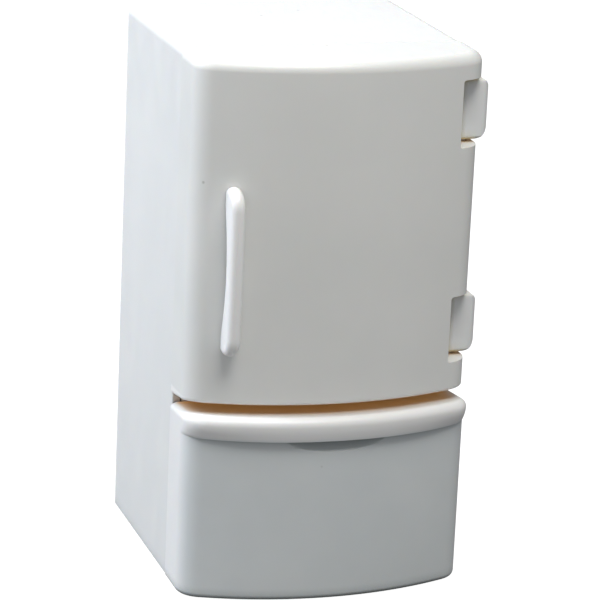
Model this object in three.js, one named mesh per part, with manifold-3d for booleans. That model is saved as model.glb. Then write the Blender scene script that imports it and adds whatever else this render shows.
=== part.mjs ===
// Doll's-house refrigerator: a hinged door with a bow handle over a pull-out freezer drawer.
// Millimetres, +Z up, the front faces -Y. The origin is the middle of the cabinet's underside.
import * as THREE from 'three';
import { mergeVertices } from 'three/addons/utils/BufferGeometryUtils.js';
import Module from 'manifold-3d';

const wasm = await Module();
wasm.setup();

// ---------- driving dimensions ----------
const HALF_WIDTH = 31.7; // cabinet, half its width
const HEIGHT = 120;
const DEPTH = 48; // cabinet without its door
const WALL = 1.8; // cabinet shell
const SKIN = 1.6; // hollow door and drawer front
const LINER = 1.2; // inner mouldings
const FIT = 0.3; // gap between mouldings that slide into each other
const SEAM = 0.4; // gap between the cabinet and what closes on it
const FRONT_HALF = 32.3; // door and drawer front, half their width
const EDGE = 11.9; // thickness of the door at its side edges
const BOW = 7.2; // how far the front swells beyond that in the middle
const CORNER = 6; // plan radius where front meets side
const TOP_RADIUS = 2.6; // long edges of the top
const DRAWER_TOP = 42.6;
const DOOR_BOTTOM = 44.7;
const GAP_DROP = 1.6; // the gap between door and drawer runs this much lower at the back
const FLOOR_GAP = 0.3; // drawer front above the floor
const DOOR_RELIEF = 0.4; // hinge side of the door, set in below the upper hinge

const FRONT = -DEPTH / 2; // plane of the cabinet's front rim
const BACK = DEPTH / 2;
const SHUT = FRONT - SEAM; // back plane of the door and the drawer front
const BOW_RADIUS = (FRONT_HALF ** 2 + BOW ** 2) / (2 * BOW);

// ---------- solids from three.js geometry ----------
// A closed geometry as a manifold-3d solid.
function solid(geometry) {
  const bare = geometry.index ? geometry.toNonIndexed() : geometry.clone();
  bare.deleteAttribute('normal');
  bare.deleteAttribute('uv');
  const merged = mergeVertices(bare, 1e-4);
  const triangles = [];
  for (let i = 0; i < merged.index.count; i += 3) {
    const [a, b, c] = merged.index.array.slice(i, i + 3);
    if (a !== b && b !== c && c !== a) triangles.push(a, b, c);
  }
  return new wasm.Manifold(new wasm.Mesh({
    numProp: 3,
    vertProperties: merged.attributes.position.array,
    triVerts: new Uint32Array(triangles),
  }));
}

// A box between two values on each axis.
function box([x0, x1], [y0, y1], [z0, z1]) {
  const block = new THREE.BoxGeometry(x1 - x0, y1 - y0, z1 - z0);
  return solid(block.translate((x0 + x1) / 2, (y0 + y1) / 2, (z0 + z1) / 2));
}

// A round bar along Z or Y.
function barZ(radius, [x, y], [z0, z1], sides = 24) {
  const bar = new THREE.CylinderGeometry(radius, radius, z1 - z0, sides).rotateX(Math.PI / 2);
  return solid(bar.translate(x, y, (z0 + z1) / 2));
}

function barY(radius, [x, z], [y0, y1], sides = 20) {
  const bar = new THREE.CylinderGeometry(radius, radius, y1 - y0, sides);
  return solid(bar.translate(x, (y0 + y1) / 2, z));
}

// An outline in plan, raised from z0 to z1, its top and bottom edges rounded by the bevel.
function raise(shape, [z0, z1], bevel = 0, curveSegments = 5) {
  const geometry = new THREE.ExtrudeGeometry(shape, {
    depth: z1 - z0 - 2 * bevel,
    curveSegments,
    bevelEnabled: bevel > 0,
    bevelThickness: bevel,
    bevelSize: bevel,
    bevelOffset: -bevel,
    bevelSegments: 4,
  });
  return solid(geometry.translate(0, 0, z0 + bevel));
}

// An outline seen from the front (x, z), run from y0 to y1.
function runBack(shape, [y0, y1], bevel = 0, curveSegments = 4) {
  const geometry = new THREE.ExtrudeGeometry(shape, {
    depth: y1 - y0 - 2 * bevel,
    curveSegments,
    bevelEnabled: bevel > 0,
    bevelThickness: bevel,
    bevelSize: bevel,
    bevelOffset: -bevel,
    bevelSegments: 3,
  });
  return solid(geometry.rotateX(Math.PI / 2).translate(0, y1 - bevel, 0));
}

// An outline seen from the side (y, z), run across from x0 to x1.
function runAcross(shape, [x0, x1], bevel = 0, curveSegments = 8) {
  const geometry = new THREE.ExtrudeGeometry(shape, {
    depth: x1 - x0 - 2 * bevel,
    curveSegments,
    bevelEnabled: bevel > 0,
    bevelThickness: bevel,
    bevelSize: bevel,
    bevelOffset: -bevel,
    bevelSegments: 3,
  });
  const turn = new THREE.Matrix4().makeBasis(
    new THREE.Vector3(0, 1, 0), new THREE.Vector3(0, 0, 1), new THREE.Vector3(1, 0, 0));
  return solid(geometry.applyMatrix4(turn).translate(x0 + bevel, 0, 0));
}

// A rectangle with its own radius at the top and at the bottom corners.
function roundedRectangle([x0, x1], [z0, z1], topRadius, bottomRadius = topRadius) {
  const shape = new THREE.Shape();
  shape.moveTo(x0, z0 + bottomRadius);
  if (bottomRadius) shape.absarc(x0 + bottomRadius, z0 + bottomRadius, bottomRadius, Math.PI, 1.5 * Math.PI);
  shape.lineTo(x1 - bottomRadius, z0);
  if (bottomRadius) shape.absarc(x1 - bottomRadius, z0 + bottomRadius, bottomRadius, -Math.PI / 2, 0);
  shape.lineTo(x1, z1 - topRadius);
  if (topRadius) shape.absarc(x1 - topRadius, z1 - topRadius, topRadius, 0, Math.PI / 2);
  shape.lineTo(x0 + topRadius, z1);
  if (topRadius) shape.absarc(x0 + topRadius, z1 - topRadius, topRadius, Math.PI / 2, Math.PI);
  return shape;
}

// Plan of a bowed front: straight sides, rounded corners and one long arc, with the back at y = back.
// inset moves the whole outline inwards, rightInset moves only the right side.
function bowedPlan(edge, back, inset = 0, rightInset = 0) {
  const radius = BOW_RADIUS - inset;
  const centreY = FRONT - edge - BOW + BOW_RADIUS;
  const corner = Math.max(CORNER - inset, 0.6);
  const cornerAt = (side) => {
    const x = side * (FRONT_HALF - inset - (side > 0 ? rightInset : 0) - corner);
    const y = centreY - Math.sqrt((radius - corner) ** 2 - x ** 2);
    return { x, y, angle: Math.atan2(y - centreY, x) };
  };
  const left = cornerAt(-1);
  const right = cornerAt(1);
  const shape = new THREE.Shape();
  shape.moveTo(left.x - corner, back);
  shape.lineTo(left.x - corner, left.y);
  shape.absarc(left.x, left.y, corner, -Math.PI, left.angle);
  shape.absarc(0, centreY, radius, left.angle, right.angle);
  shape.absarc(right.x, right.y, corner, right.angle, 0);
  shape.lineTo(right.x + corner, back);
  return shape;
}

// Depth of the bowed surface at x.
function frontAt(x, edge) {
  return FRONT - edge - BOW + BOW_RADIUS - Math.sqrt(BOW_RADIUS ** 2 - x ** 2);
}

// Everything below a surface that is level under the front and drops towards the back.
function belowGap(level, drop = GAP_DROP) {
  const outline = new THREE.Shape([
    new THREE.Vector2(-60, -10),
    new THREE.Vector2(10, -10),
    new THREE.Vector2(10, level - drop),
    new THREE.Vector2(SHUT, level - drop),
    new THREE.Vector2(FRONT - EDGE, level),
    new THREE.Vector2(-60, level),
  ]);
  return runAcross(outline, [-60, 60]);
}

// ---------- materials ----------
const shellWhite = new THREE.MeshStandardMaterial({ color: 0xf1f1ee, roughness: 0.3, metalness: 0 });
const linerWhite = new THREE.MeshStandardMaterial({ color: 0xeceae3, roughness: 0.42, metalness: 0 });
const clearPlastic = new THREE.MeshStandardMaterial({
  color: 0xe6eef2, roughness: 0.08, metalness: 0, transparent: true, opacity: 0.4,
});
const pinSteel = new THREE.MeshStandardMaterial({ color: 0xb9bcc0, roughness: 0.25, metalness: 1 });
const screwSteel = new THREE.MeshStandardMaterial({ color: 0xa9abad, roughness: 0.35, metalness: 1 });

// A named sub-part from a solid.
function part(name, body, material, position = [0, 0, 0]) {
  const { vertProperties, triVerts, numProp } = body.getMesh();
  const geometry = new THREE.BufferGeometry();
  const buffer = new THREE.InterleavedBuffer(vertProperties, numProp);
  geometry.setAttribute('position', new THREE.InterleavedBufferAttribute(buffer, 3, 0));
  geometry.setIndex(new THREE.BufferAttribute(triVerts, 1));
  const mesh = new THREE.Mesh(geometry.toNonIndexed(), material);
  mesh.name = name;
  mesh.position.set(...position);
  return mesh;
}

// ---------- hinges ----------
const HINGE_X = 29.9;
const HINGE_Y = FRONT - 6.3;
const HINGE_MIDDLES = { upper: 106.9, lower: 58.7 };
const NOTCH_HALF = 7.45; // half the height of the notch in the door
const NOTCH_X = 26.55; // inner wall of the notch
const KNUCKLE_HALF = 6.95;
const KNUCKLE_RADIUS = 2.6;
const ARM_INSIDE = HALF_WIDTH + 0.15; // the arm runs back along the outside of the cabinet
const ARM_OUTSIDE = 34.8;
const ARM_CORNER = 2;
const PIN_RADIUS = 0.9;
const PIN_BORE = 1;
const PIN_GRIP = 2.2; // how far the pin reaches into the door past the notch
const ARM_END = FRONT + 8; // back end of the arm on the cabinet's side
const TAB_Y = [FRONT + 2.2, FRONT + 6.2]; // tab of the knuckle, through the cabinet's wall
const TAB_HALF = 3.2;

// A knuckle centred on z = 0: a barrel round the pin, an arm back along the cabinet's side, and a tab.
function knuckleSolid() {
  const heights = [-KNUCKLE_HALF, KNUCKLE_HALF];
  const nose = HINGE_Y - KNUCKLE_RADIUS;
  const plan = new THREE.Shape();
  plan.moveTo(ARM_INSIDE, ARM_END);
  plan.lineTo(ARM_INSIDE, FRONT - 2.2);
  plan.lineTo(HINGE_X, HINGE_Y + KNUCKLE_RADIUS);
  plan.absarc(HINGE_X, HINGE_Y, KNUCKLE_RADIUS, Math.PI / 2, 1.5 * Math.PI);
  plan.lineTo(ARM_OUTSIDE - ARM_CORNER, nose);
  plan.absarc(ARM_OUTSIDE - ARM_CORNER, nose + ARM_CORNER, ARM_CORNER, -Math.PI / 2, 0);
  plan.lineTo(ARM_OUTSIDE, ARM_END);
  const outline = roundedRectangle([HINGE_X - KNUCKLE_RADIUS - 3, ARM_OUTSIDE], heights, 3.2, 3.7);
  const profile = roundedRectangle([nose, ARM_END], heights, 1.8, 1.2);
  const tab = box([HALF_WIDTH - WALL, HALF_WIDTH + 1], TAB_Y, [-TAB_HALF, TAB_HALF]);
  return raise(plan, heights, 0, 10)
    .intersect(runBack(outline, [nose - 1, ARM_END + 1]))
    .intersect(runAcross(profile, [HINGE_X - 5, ARM_OUTSIDE + 1]))
    .add(tab)
    .subtract(barZ(PIN_BORE, [HINGE_X, HINGE_Y], [-20, 20]));
}

// ---------- cabinet ----------
const LINER_HALF = HALF_WIDTH - WALL - FIT;
const LINER_BACK = BACK - 5;
const COVER_FACE = BACK - WALL; // inner face of the rear cover
const BAY_HALF = LINER_HALF - LINER; // half the clear width inside the liner
const BAY_BACK = LINER_BACK - LINER;
const COLD_BAY = [45.6, HEIGHT - WALL - FIT - LINER]; // floor and ceiling of the refrigerator bay
const FREEZER_BAY = [WALL + FIT + LINER, 41.2];
const SCREW_POSITIONS = [-1, 1].flatMap((x) => [5.4, HEIGHT - 5.4].map((z) => [x * 26.3, z]));
const LEDGE_THICK = 1.2;
const LEDGE_WIDTH = 2.2;
const SHELF_FRONT = FRONT + 9.6;
const SHELF_LEVELS = { crisper_cover: 64.2, middle_shelf: 81.5, upper_shelf: 98.5 };
const POST_INSIDE = 24.2; // inner side of the posts that the cover screws bite into
const POST_HIGH = 7.6;
const SCREW_HOLE = 0.62;
const TAB_FIT = 0.15; // clearance round the knuckle's tab

function cabinetShell() {
  const outer = runBack(
    roundedRectangle([-HALF_WIDTH, HALF_WIDTH], [0, HEIGHT], TOP_RADIUS, 0.7), [FRONT - 3, BACK], 0.4);
  const hollow = runBack(
    roundedRectangle([-HALF_WIDTH + WALL, HALF_WIDTH - WALL], [WALL, HEIGHT - WALL], 0.8, 0.5),
    [FRONT - 5, BACK + 2]);
  const forward = box([-50, 50], [FRONT - 10, FRONT], [-5, HEIGHT + 5]);
  let shell = outer.subtract(hollow).subtract(forward);
  const reach = HALF_WIDTH - WALL + 0.5;
  for (const [x, z] of SCREW_POSITIONS) {
    const side = Math.sign(x);
    const xs = side > 0 ? [POST_INSIDE, reach] : [-reach, -POST_INSIDE];
    const zs = z < HEIGHT / 2 ? [WALL - 0.5, POST_HIGH] : [HEIGHT - POST_HIGH, HEIGHT - WALL + 0.5];
    shell = shell.add(box(xs, [LINER_BACK + FIT, COVER_FACE - FIT], zs));
  }
  for (const position of SCREW_POSITIONS) {
    shell = shell.subtract(barY(SCREW_HOLE, position, [LINER_BACK, BACK], 12));
  }
  for (const middle of Object.values(HINGE_MIDDLES)) {
    shell = shell.subtract(box(
      [HALF_WIDTH - WALL - 1, HALF_WIDTH + 1], [TAB_Y[0] - TAB_FIT, TAB_Y[1] + TAB_FIT],
      [middle - TAB_HALF - TAB_FIT, middle + TAB_HALF + TAB_FIT]));
  }
  return shell;
}

function cabinetLiner() {
  const low = WALL + FIT;
  let liner = box([-LINER_HALF, LINER_HALF], [FRONT, LINER_BACK], [low, HEIGHT - low])
    .subtract(box([-BAY_HALF, BAY_HALF], [FRONT - 1, BAY_BACK], COLD_BAY))
    .subtract(box([-BAY_HALF, BAY_HALF], [FRONT - 1, BAY_BACK], FREEZER_BAY))
    .subtract(box([-LINER_HALF - 1, LINER_HALF + 1], [FRONT + LINER, LINER_BACK + 1],
      [FREEZER_BAY[1] + LINER, COLD_BAY[0] - LINER]));
  for (const level of Object.values(SHELF_LEVELS)) {
    for (const side of [-1, 1]) {
      const xs = [side * (BAY_HALF - LEDGE_WIDTH), side * (BAY_HALF + 0.3)].sort((a, b) => a - b);
      liner = liner.add(box(xs, [SHELF_FRONT + 0.6, BAY_BACK + 0.3], [level - LEDGE_THICK, level]));
    }
  }
  return liner;
}

const LOUVRES = { count: 9, half: 21, start: 42, pitch: 7.2, high: 2.4, deep: 0.7 };
const SCREW_CLEARANCE = 0.85;
const SCREW_SEAT = { radius: 1.75, deep: 1.1 };

// The rear cover carries moulded louvres like a condenser and four sunk screw seats.
function rearCover() {
  const half = LINER_HALF;
  const low = WALL + FIT;
  let cover = box([-half, half], [COVER_FACE, BACK], [low, HEIGHT - low]);
  for (let i = 0; i < LOUVRES.count; i += 1) {
    const z = LOUVRES.start + i * LOUVRES.pitch;
    cover = cover.subtract(
      box([-LOUVRES.half, LOUVRES.half], [BACK - LOUVRES.deep, BACK + 1], [z, z + LOUVRES.high]));
  }
  for (const [x, z] of SCREW_POSITIONS) {
    cover = cover.subtract(barY(SCREW_CLEARANCE, [x, z], [COVER_FACE - 1, BACK + 1], 12));
    cover = cover.subtract(barY(SCREW_SEAT.radius, [x, z], [BACK - SCREW_SEAT.deep, BACK + 1]));
  }
  return cover;
}

// A self-tapping screw along Y, its head's top at y = 0.
function screwSolid() {
  const outline = [
    [0, -3.6], [0.3, -3.4], [0.55, -3], [0.55, -0.9], [1.5, -0.9], [1.5, -0.4], [1, -0.05], [0, 0],
  ];
  return solid(new THREE.LatheGeometry(outline.map(([r, y]) => new THREE.Vector2(r, y)), 16));
}

const SHELF = { fit: 0.4, lift: 0.15, top: 1.35, lipTop: 1.75, lipFoot: -0.9, lip: [-0.8, 0.4] };

// A loose plate with a front lip that hangs down between the ledges.
function shelfSolid() {
  const half = BAY_HALF - SHELF.fit;
  const clear = BAY_HALF - LEDGE_WIDTH - 0.3;
  const lipY = SHELF.lip.map((y) => SHELF_FRONT + y);
  return box([-half, half], [SHELF_FRONT, BAY_BACK - SHELF.fit], [SHELF.lift, SHELF.top])
    .add(box([-clear, clear], lipY, [SHELF.lipFoot, SHELF.lipTop]))
    .add(box([-half, half], lipY, [SHELF.lift, SHELF.lipTop]));
}

const CRISPER_FRONT = FRONT + 16.5;
const CRISPER_TRAVEL_GAP = 0.4;

const CRISPER_WALL = 1.1;
const GRIP_HALF = 9;

// The crisper is a clear tray under the lowest shelf, with a turned-over grip along its front.
function crisperDrawer() {
  const half = BAY_HALF - 0.8;
  const inside = half - CRISPER_WALL;
  const zs = [COLD_BAY[0] + CRISPER_TRAVEL_GAP, SHELF_LEVELS.crisper_cover - LEDGE_THICK - 0.6];
  const tray = box([-half, half], [CRISPER_FRONT, BAY_BACK - 0.6], zs);
  const hollow = box([-inside, inside], [CRISPER_FRONT + CRISPER_WALL, BAY_BACK - 0.6 - CRISPER_WALL],
    [zs[0] + CRISPER_WALL, zs[1] + 1]);
  const grip = box([-GRIP_HALF, GRIP_HALF],
    [CRISPER_FRONT - 1.6, CRISPER_FRONT + 0.2], [zs[1] - 3.4, zs[1] - 2.2]);
  return tray.subtract(hollow).add(grip);
}

// ---------- door ----------
const LINER_RIB_X = [23.7, 25.1]; // inner and outer face of the ribs that hold the bins
const RIB_DEEP = FRONT + 8.2;
const BIN_DEEP = FRONT + 7.8;
const BINS = { bottle_bin: [49.2, 13], middle_bin: [70.5, 9.5], top_bin: [92.5, 9.5] }; // floor and height
const BIN_HALF = LINER_RIB_X[0] - 0.4;
const HANDLE = { x: -24.15, width: 3, bottom: 56.1, top: 93.1, proud: 5.5, gap: 1.7, foot: 4.4, turn: 4.6 };
const PEG_RADIUS = 1;
const PEG_INSET = 2.3; // peg from the end of the handle

// Body of the door, full height: the hinge side is set in below the upper notch.
function doorBlank(inset = 0, grow = 0) {
  const back = inset ? FRONT + 5 : SHUT;
  const notchTop = HINGE_MIDDLES.upper + NOTCH_HALF;
  const edge = EDGE + grow;
  const wide = bowedPlan(edge, back, inset);
  const narrow = bowedPlan(edge, back, inset, DOOR_RELIEF);
  const bottom = DOOR_BOTTOM - GAP_DROP + inset;
  const upper = raise(wide, [notchTop - 20, HEIGHT - inset], Math.max(2.4 - inset, 0))
    .subtract(box([-60, 60], [-60, 10], [notchTop - 30, notchTop]));
  const lower = raise(narrow, [bottom, HEIGHT + 10], Math.max(1 - inset, 0))
    .subtract(box([-60, 60], [-60, 10], [notchTop, HEIGHT + 20]));
  const face = roundedRectangle(
    [-FRONT_HALF + inset, FRONT_HALF - inset], [bottom, HEIGHT - inset],
    Math.max(TOP_RADIUS - inset, 0.5), Math.max(2.2 - inset, 0.5));
  return upper.add(lower).intersect(runBack(face, [-60, 10])).subtract(belowGap(DOOR_BOTTOM + inset));
}

// Wedge off the back corner that swings past the cabinet, for a door side at x.
function swingWedge(x, heights) {
  const cut = 0.9;
  const triangle = new THREE.Shape([
    new THREE.Vector2(x - cut, SHUT + 0.01),
    new THREE.Vector2(x + 0.01, SHUT - cut),
    new THREE.Vector2(x + 1, SHUT - cut),
    new THREE.Vector2(x + 1, SHUT + 1),
    new THREE.Vector2(x - cut, SHUT + 1),
  ]);
  return raise(triangle, heights);
}

// Room for one knuckle, and the solid corner round it that holds the pin.
function notchBox(middle, grow = 0, deep = 0) {
  return box([NOTCH_X - grow, 60], [-60, 10],
    [middle - NOTCH_HALF - grow - deep, middle + NOTCH_HALF + grow + deep]);
}

function doorShell() {
  const blank = doorBlank();
  const behindRim = box([-60, 60], [-60, SHUT], [-5, HEIGHT + 5]);
  let shell = blank.subtract(doorBlank(SKIN));
  for (const middle of Object.values(HINGE_MIDDLES)) {
    shell = shell.add(notchBox(middle, 1.2, 2.2).intersect(blank));
  }
  for (const middle of Object.values(HINGE_MIDDLES)) {
    const reach = NOTCH_HALF + PIN_GRIP + 0.2;
    shell = shell.subtract(notchBox(middle));
    shell = shell.subtract(barZ(PIN_BORE, [HINGE_X, HINGE_Y], [middle - reach, middle + reach], 16));
  }
  for (const z of [HANDLE.bottom + PEG_INSET, HANDLE.top - PEG_INSET]) {
    shell = shell.subtract(barY(PEG_RADIUS + 0.15, [HANDLE.x, z], [-60, FRONT - 4], 14));
  }
  const notchTop = HINGE_MIDDLES.upper + NOTCH_HALF;
  return shell.intersect(behindRim)
    .subtract(swingWedge(FRONT_HALF - DOOR_RELIEF, [0, notchTop]))
    .subtract(swingWedge(FRONT_HALF, [notchTop, HEIGHT + 5]));
}

// The door liner closes the back of the hollow door and carries two ribs for the bins.
function doorLiner() {
  const sides = [-FRONT_HALF + SKIN + 0.3, FRONT_HALF - DOOR_RELIEF - SKIN - 0.3];
  const heights = [DOOR_BOTTOM + SKIN + 0.3, HEIGHT - SKIN - 0.8];
  let liner = runBack(roundedRectangle(sides, heights, 1.6, 1.2), [SHUT - 1.4, SHUT]);
  for (const side of [-1, 1]) {
    const xs = LINER_RIB_X.map((x) => side * x).sort((a, b) => a - b);
    liner = liner.add(box(xs, [SHUT - 0.5, RIB_DEEP], [47.2, 115.4]));
    for (const [floor] of Object.values(BINS)) {
      const ledge = [side * (LINER_RIB_X[0] - 1.4), side * (LINER_RIB_X[0] + 0.3)].sort((a, b) => a - b);
      liner = liner.add(box(ledge, [SHUT - 0.5, BIN_DEEP - 0.6], [floor - 1.3, floor - 0.1]));
    }
  }
  const panelOnly = box([-60, 60], [-60, SHUT + 0.1], [0, HEIGHT]);
  for (const middle of Object.values(HINGE_MIDDLES)) {
    liner = liner.subtract(notchBox(middle, 1.5, 2.2).intersect(panelOnly));
  }
  return liner;
}

// An open bin with its floor at z = 0, narrower at the bottom of its outer wall.
function binSolid(height) {
  const outline = new THREE.Shape([
    new THREE.Vector2(SHUT + 0.2, 0), new THREE.Vector2(BIN_DEEP - 1.2, 0),
    new THREE.Vector2(BIN_DEEP, 1.6), new THREE.Vector2(BIN_DEEP, height),
    new THREE.Vector2(SHUT + 0.2, height),
  ]);
  const wall = 1;
  const hollow = new THREE.Shape([
    new THREE.Vector2(SHUT + 0.2 + wall, wall), new THREE.Vector2(BIN_DEEP - 1.2 - 0.4 * wall, wall),
    new THREE.Vector2(BIN_DEEP - wall, 1.6 + 0.4 * wall), new THREE.Vector2(BIN_DEEP - wall, height + 1),
    new THREE.Vector2(SHUT + 0.2 + wall, height + 1),
  ]);
  return runAcross(outline, [-BIN_HALF, BIN_HALF])
    .subtract(runAcross(hollow, [-BIN_HALF + wall, BIN_HALF - wall]));
}

// The bow handle: a straight bar that turns in to the door at both ends, and a peg behind each foot.
function doorHandle() {
  const { x, width, bottom, top, proud, gap, foot, turn } = HANDLE;
  const middle = (bottom + top) / 2;
  const face = frontAt(x, EDGE);
  const root = face + 1.5; // inside the door's surface, cut back below
  const bar = new THREE.Shape();
  bar.moveTo(root, bottom + 0.4);
  bar.lineTo(face - 0.8, bottom);
  bar.bezierCurveTo(face - 3.4, bottom, face - proud, bottom + 1.6, face - proud, bottom + turn);
  bar.quadraticCurveTo(face - proud - 0.4, middle, face - proud, top - turn);
  bar.bezierCurveTo(face - proud, top - 1.6, face - 3.4, top, face - 0.8, top);
  bar.lineTo(root, top - 0.4);
  bar.lineTo(root, top - foot);
  bar.quadraticCurveTo(face - 2 * gap, middle, root, bottom + foot);
  const skin = raise(bowedPlan(EDGE + 0.12, SHUT), [bottom - 5, top + 5]);
  let handle = runAcross(bar, [x - width / 2, x + width / 2], 0.9).subtract(skin);
  for (const z of [bottom + PEG_INSET, top - PEG_INSET]) {
    handle = handle.add(barY(PEG_RADIUS, [x, z], [face - 1.2, face + 2.6], 14));
  }
  return handle;
}

// ---------- freezer drawer ----------
const DRAWER_EDGE = 13; // the drawer front stands a little proud of the door
const LIP = 2; // the pull lip stands proud of the drawer front
const LIP_BOTTOM = 37.1;
const SCOOP = { half: 22, drop: 33.6, deep: 1.8 };
const TUB_HALF = 26.4;
const TUB_BACK = 15.5;
const TUB_HEIGHTS = [4.2, 35.5];
const TUB_WALL = 1.3;
const TUB_FLANGE = 1.5; // side flanges that slide on the runners
const RUNNER_TOP = 33.9;

// The drawer front is hollow, with a lip along its top and a finger scoop under the lip.
function drawerFront() {
  const heights = [FLOOR_GAP, DRAWER_TOP];
  const body = raise(bowedPlan(DRAWER_EDGE, SHUT), heights, 1);
  const lip = raise(bowedPlan(DRAWER_EDGE + LIP, SHUT), [LIP_BOTTOM, DRAWER_TOP], 2);
  const hollow = raise(bowedPlan(DRAWER_EDGE - 0.8, FRONT + 5, SKIN), [FLOOR_GAP + SKIN, DRAWER_TOP - SKIN])
    .intersect(belowGap(DRAWER_TOP - SKIN));
  const face = roundedRectangle([-FRONT_HALF, FRONT_HALF], heights, 1.2, 2);
  const overGap = box([-60, 60], [-60, 10], [20, 60]).subtract(belowGap(DRAWER_TOP));
  const scoopTop = LIP_BOTTOM + 2.4;
  const scoop = solid(new THREE.SphereGeometry(1, 32, 12)
    .scale(SCOOP.half, 2 * SCOOP.deep, scoopTop - SCOOP.drop)
    .translate(0, FRONT - DRAWER_EDGE - BOW - SCOOP.deep, scoopTop));
  const underLip = box([-40, 40], [-60, 10], [0, LIP_BOTTOM + 1]);
  return body
    .subtract(scoop.intersect(underLip))
    .add(lip)
    .intersect(runBack(face, [-60, SHUT]))
    .subtract(overGap)
    .subtract(hollow);
}

// The tub is moulded in one with the panel that closes the back of the drawer front.
function drawerTub() {
  const panel = runBack(
    roundedRectangle([-FRONT_HALF + SKIN + 0.3, FRONT_HALF - SKIN - 0.3],
      [FLOOR_GAP + SKIN + 0.3, DRAWER_TOP - GAP_DROP - SKIN - 0.3], 0.8), [SHUT - 1.4, SHUT]);
  const tub = box([-TUB_HALF, TUB_HALF], [SHUT - 0.5, TUB_BACK], TUB_HEIGHTS);
  const flangeHalf = TUB_HALF + TUB_FLANGE;
  const flange = box([-flangeHalf, flangeHalf],
    [FRONT + TUB_FLANGE, TUB_BACK], [RUNNER_TOP + FIT, TUB_HEIGHTS[1]]);
  const hollow = box([-TUB_HALF + TUB_WALL, TUB_HALF - TUB_WALL], [SHUT + 0.2, TUB_BACK - TUB_WALL],
    [TUB_HEIGHTS[0] + TUB_WALL, TUB_HEIGHTS[1] + 1]);
  return panel.add(tub).add(flange).subtract(hollow);
}

function drawerRunner(side) {
  const xs = [side * (TUB_HALF + 0.6), side * (BAY_HALF - 0.1)].sort((a, b) => a - b);
  const webX = [side * (BAY_HALF - 0.7), side * (BAY_HALF - 0.1)].sort((a, b) => a - b);
  const run = [FRONT + 1.5, BAY_BACK - FIT];
  return box(xs, run, [RUNNER_TOP - 1.6, RUNNER_TOP]).add(box(webX, run, [RUNNER_TOP - 4.2, RUNNER_TOP]));
}

// ---------- assembly ----------
const cabinet = new THREE.Group();
cabinet.add(part('cabinet_shell', cabinetShell(), shellWhite));
cabinet.add(part('cabinet_liner', cabinetLiner(), linerWhite));
cabinet.add(part('rear_cover', rearCover(), shellWhite));
SCREW_POSITIONS.forEach(([x, z], i) => {
  cabinet.add(part(`rear_cover_screw_${i + 1}`, screwSolid(), screwSteel, [x, BACK - 0.15, z]));
});
for (const [name, level] of Object.entries(SHELF_LEVELS)) {
  cabinet.add(part(name, shelfSolid(), clearPlastic, [0, 0, level]));
}
cabinet.add(part('drawer_runner_left', drawerRunner(-1), linerWhite));
cabinet.add(part('drawer_runner_right', drawerRunner(1), linerWhite));
for (const [place, middle] of Object.entries(HINGE_MIDDLES)) {
  cabinet.add(part(`${place}_hinge_knuckle`, knuckleSolid(), shellWhite, [0, 0, middle]));
}

const crisper = new THREE.Group();
crisper.add(part('crisper_drawer', crisperDrawer(), clearPlastic));

const door = new THREE.Group();
door.add(part('door_shell', doorShell(), shellWhite));
door.add(part('door_liner', doorLiner(), linerWhite));
door.add(part('door_handle', doorHandle(), shellWhite));
for (const [name, [floor, height]] of Object.entries(BINS)) {
  door.add(part(name, binSolid(height), clearPlastic, [0, 0, floor]));
}
for (const [place, middle] of Object.entries(HINGE_MIDDLES)) {
  const reach = NOTCH_HALF + PIN_GRIP;
  const pin = barZ(PIN_RADIUS, [HINGE_X, HINGE_Y], [middle - reach, middle + reach], 16);
  door.add(part(`${place}_hinge_pin`, pin, pinSteel));
}

const drawer = new THREE.Group();
drawer.add(part('drawer_front', drawerFront(), shellWhite));
drawer.add(part('drawer_tub', drawerTub(), linerWhite));

const fridge = new THREE.Group();
fridge.add(cabinet, crisper, door, drawer);

export default fridge;
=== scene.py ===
import math
import random

import bmesh
import bpy
from mathutils import Matrix, Vector


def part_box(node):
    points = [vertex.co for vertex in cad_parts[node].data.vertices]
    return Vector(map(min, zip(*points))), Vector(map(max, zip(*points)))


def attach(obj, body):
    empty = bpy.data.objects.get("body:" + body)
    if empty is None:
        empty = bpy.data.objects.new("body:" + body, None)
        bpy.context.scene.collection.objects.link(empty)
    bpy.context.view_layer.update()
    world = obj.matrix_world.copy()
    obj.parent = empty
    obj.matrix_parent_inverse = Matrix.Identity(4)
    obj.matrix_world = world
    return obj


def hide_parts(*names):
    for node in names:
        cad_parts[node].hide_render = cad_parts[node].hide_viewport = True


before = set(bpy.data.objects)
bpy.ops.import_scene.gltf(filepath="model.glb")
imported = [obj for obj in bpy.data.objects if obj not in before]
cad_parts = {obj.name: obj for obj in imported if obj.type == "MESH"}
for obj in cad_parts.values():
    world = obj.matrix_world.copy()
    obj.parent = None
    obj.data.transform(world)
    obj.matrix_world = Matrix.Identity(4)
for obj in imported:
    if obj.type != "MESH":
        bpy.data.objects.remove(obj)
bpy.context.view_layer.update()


# ---------------------------------------------------------------- cabinet shell
# The outside of the cabinet: one white styrene moulding, an open-fronted box with a generous radius
# along its top edges. Four posts inside its back take the screws of the rear cover.

MM = 0.001


def rounded_outline(corners, steps=10):
    """Outline through corners (a, b, radius), each corner turned as an arc of that radius."""
    points = []
    count = len(corners)
    for i, (a, b, radius) in enumerate(corners):
        here = Vector((a, b))
        before = (Vector(corners[i - 1][:2]) - here).normalized()
        after = (Vector(corners[(i + 1) % count][:2]) - here).normalized()
        if radius <= 0:
            points.append(here)
            continue
        half = before.angle(after) / 2
        centre = here + (before + after).normalized() * radius / math.sin(half)
        start = here + before * radius / math.tan(half) - centre
        end = here + after * radius / math.tan(half) - centre
        sweep = start.angle_signed(end)
        for k in range(steps + 1):
            turn = Matrix.Rotation(-sweep * k / steps, 2)
            points.append(centre + turn @ start)
    return points


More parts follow.
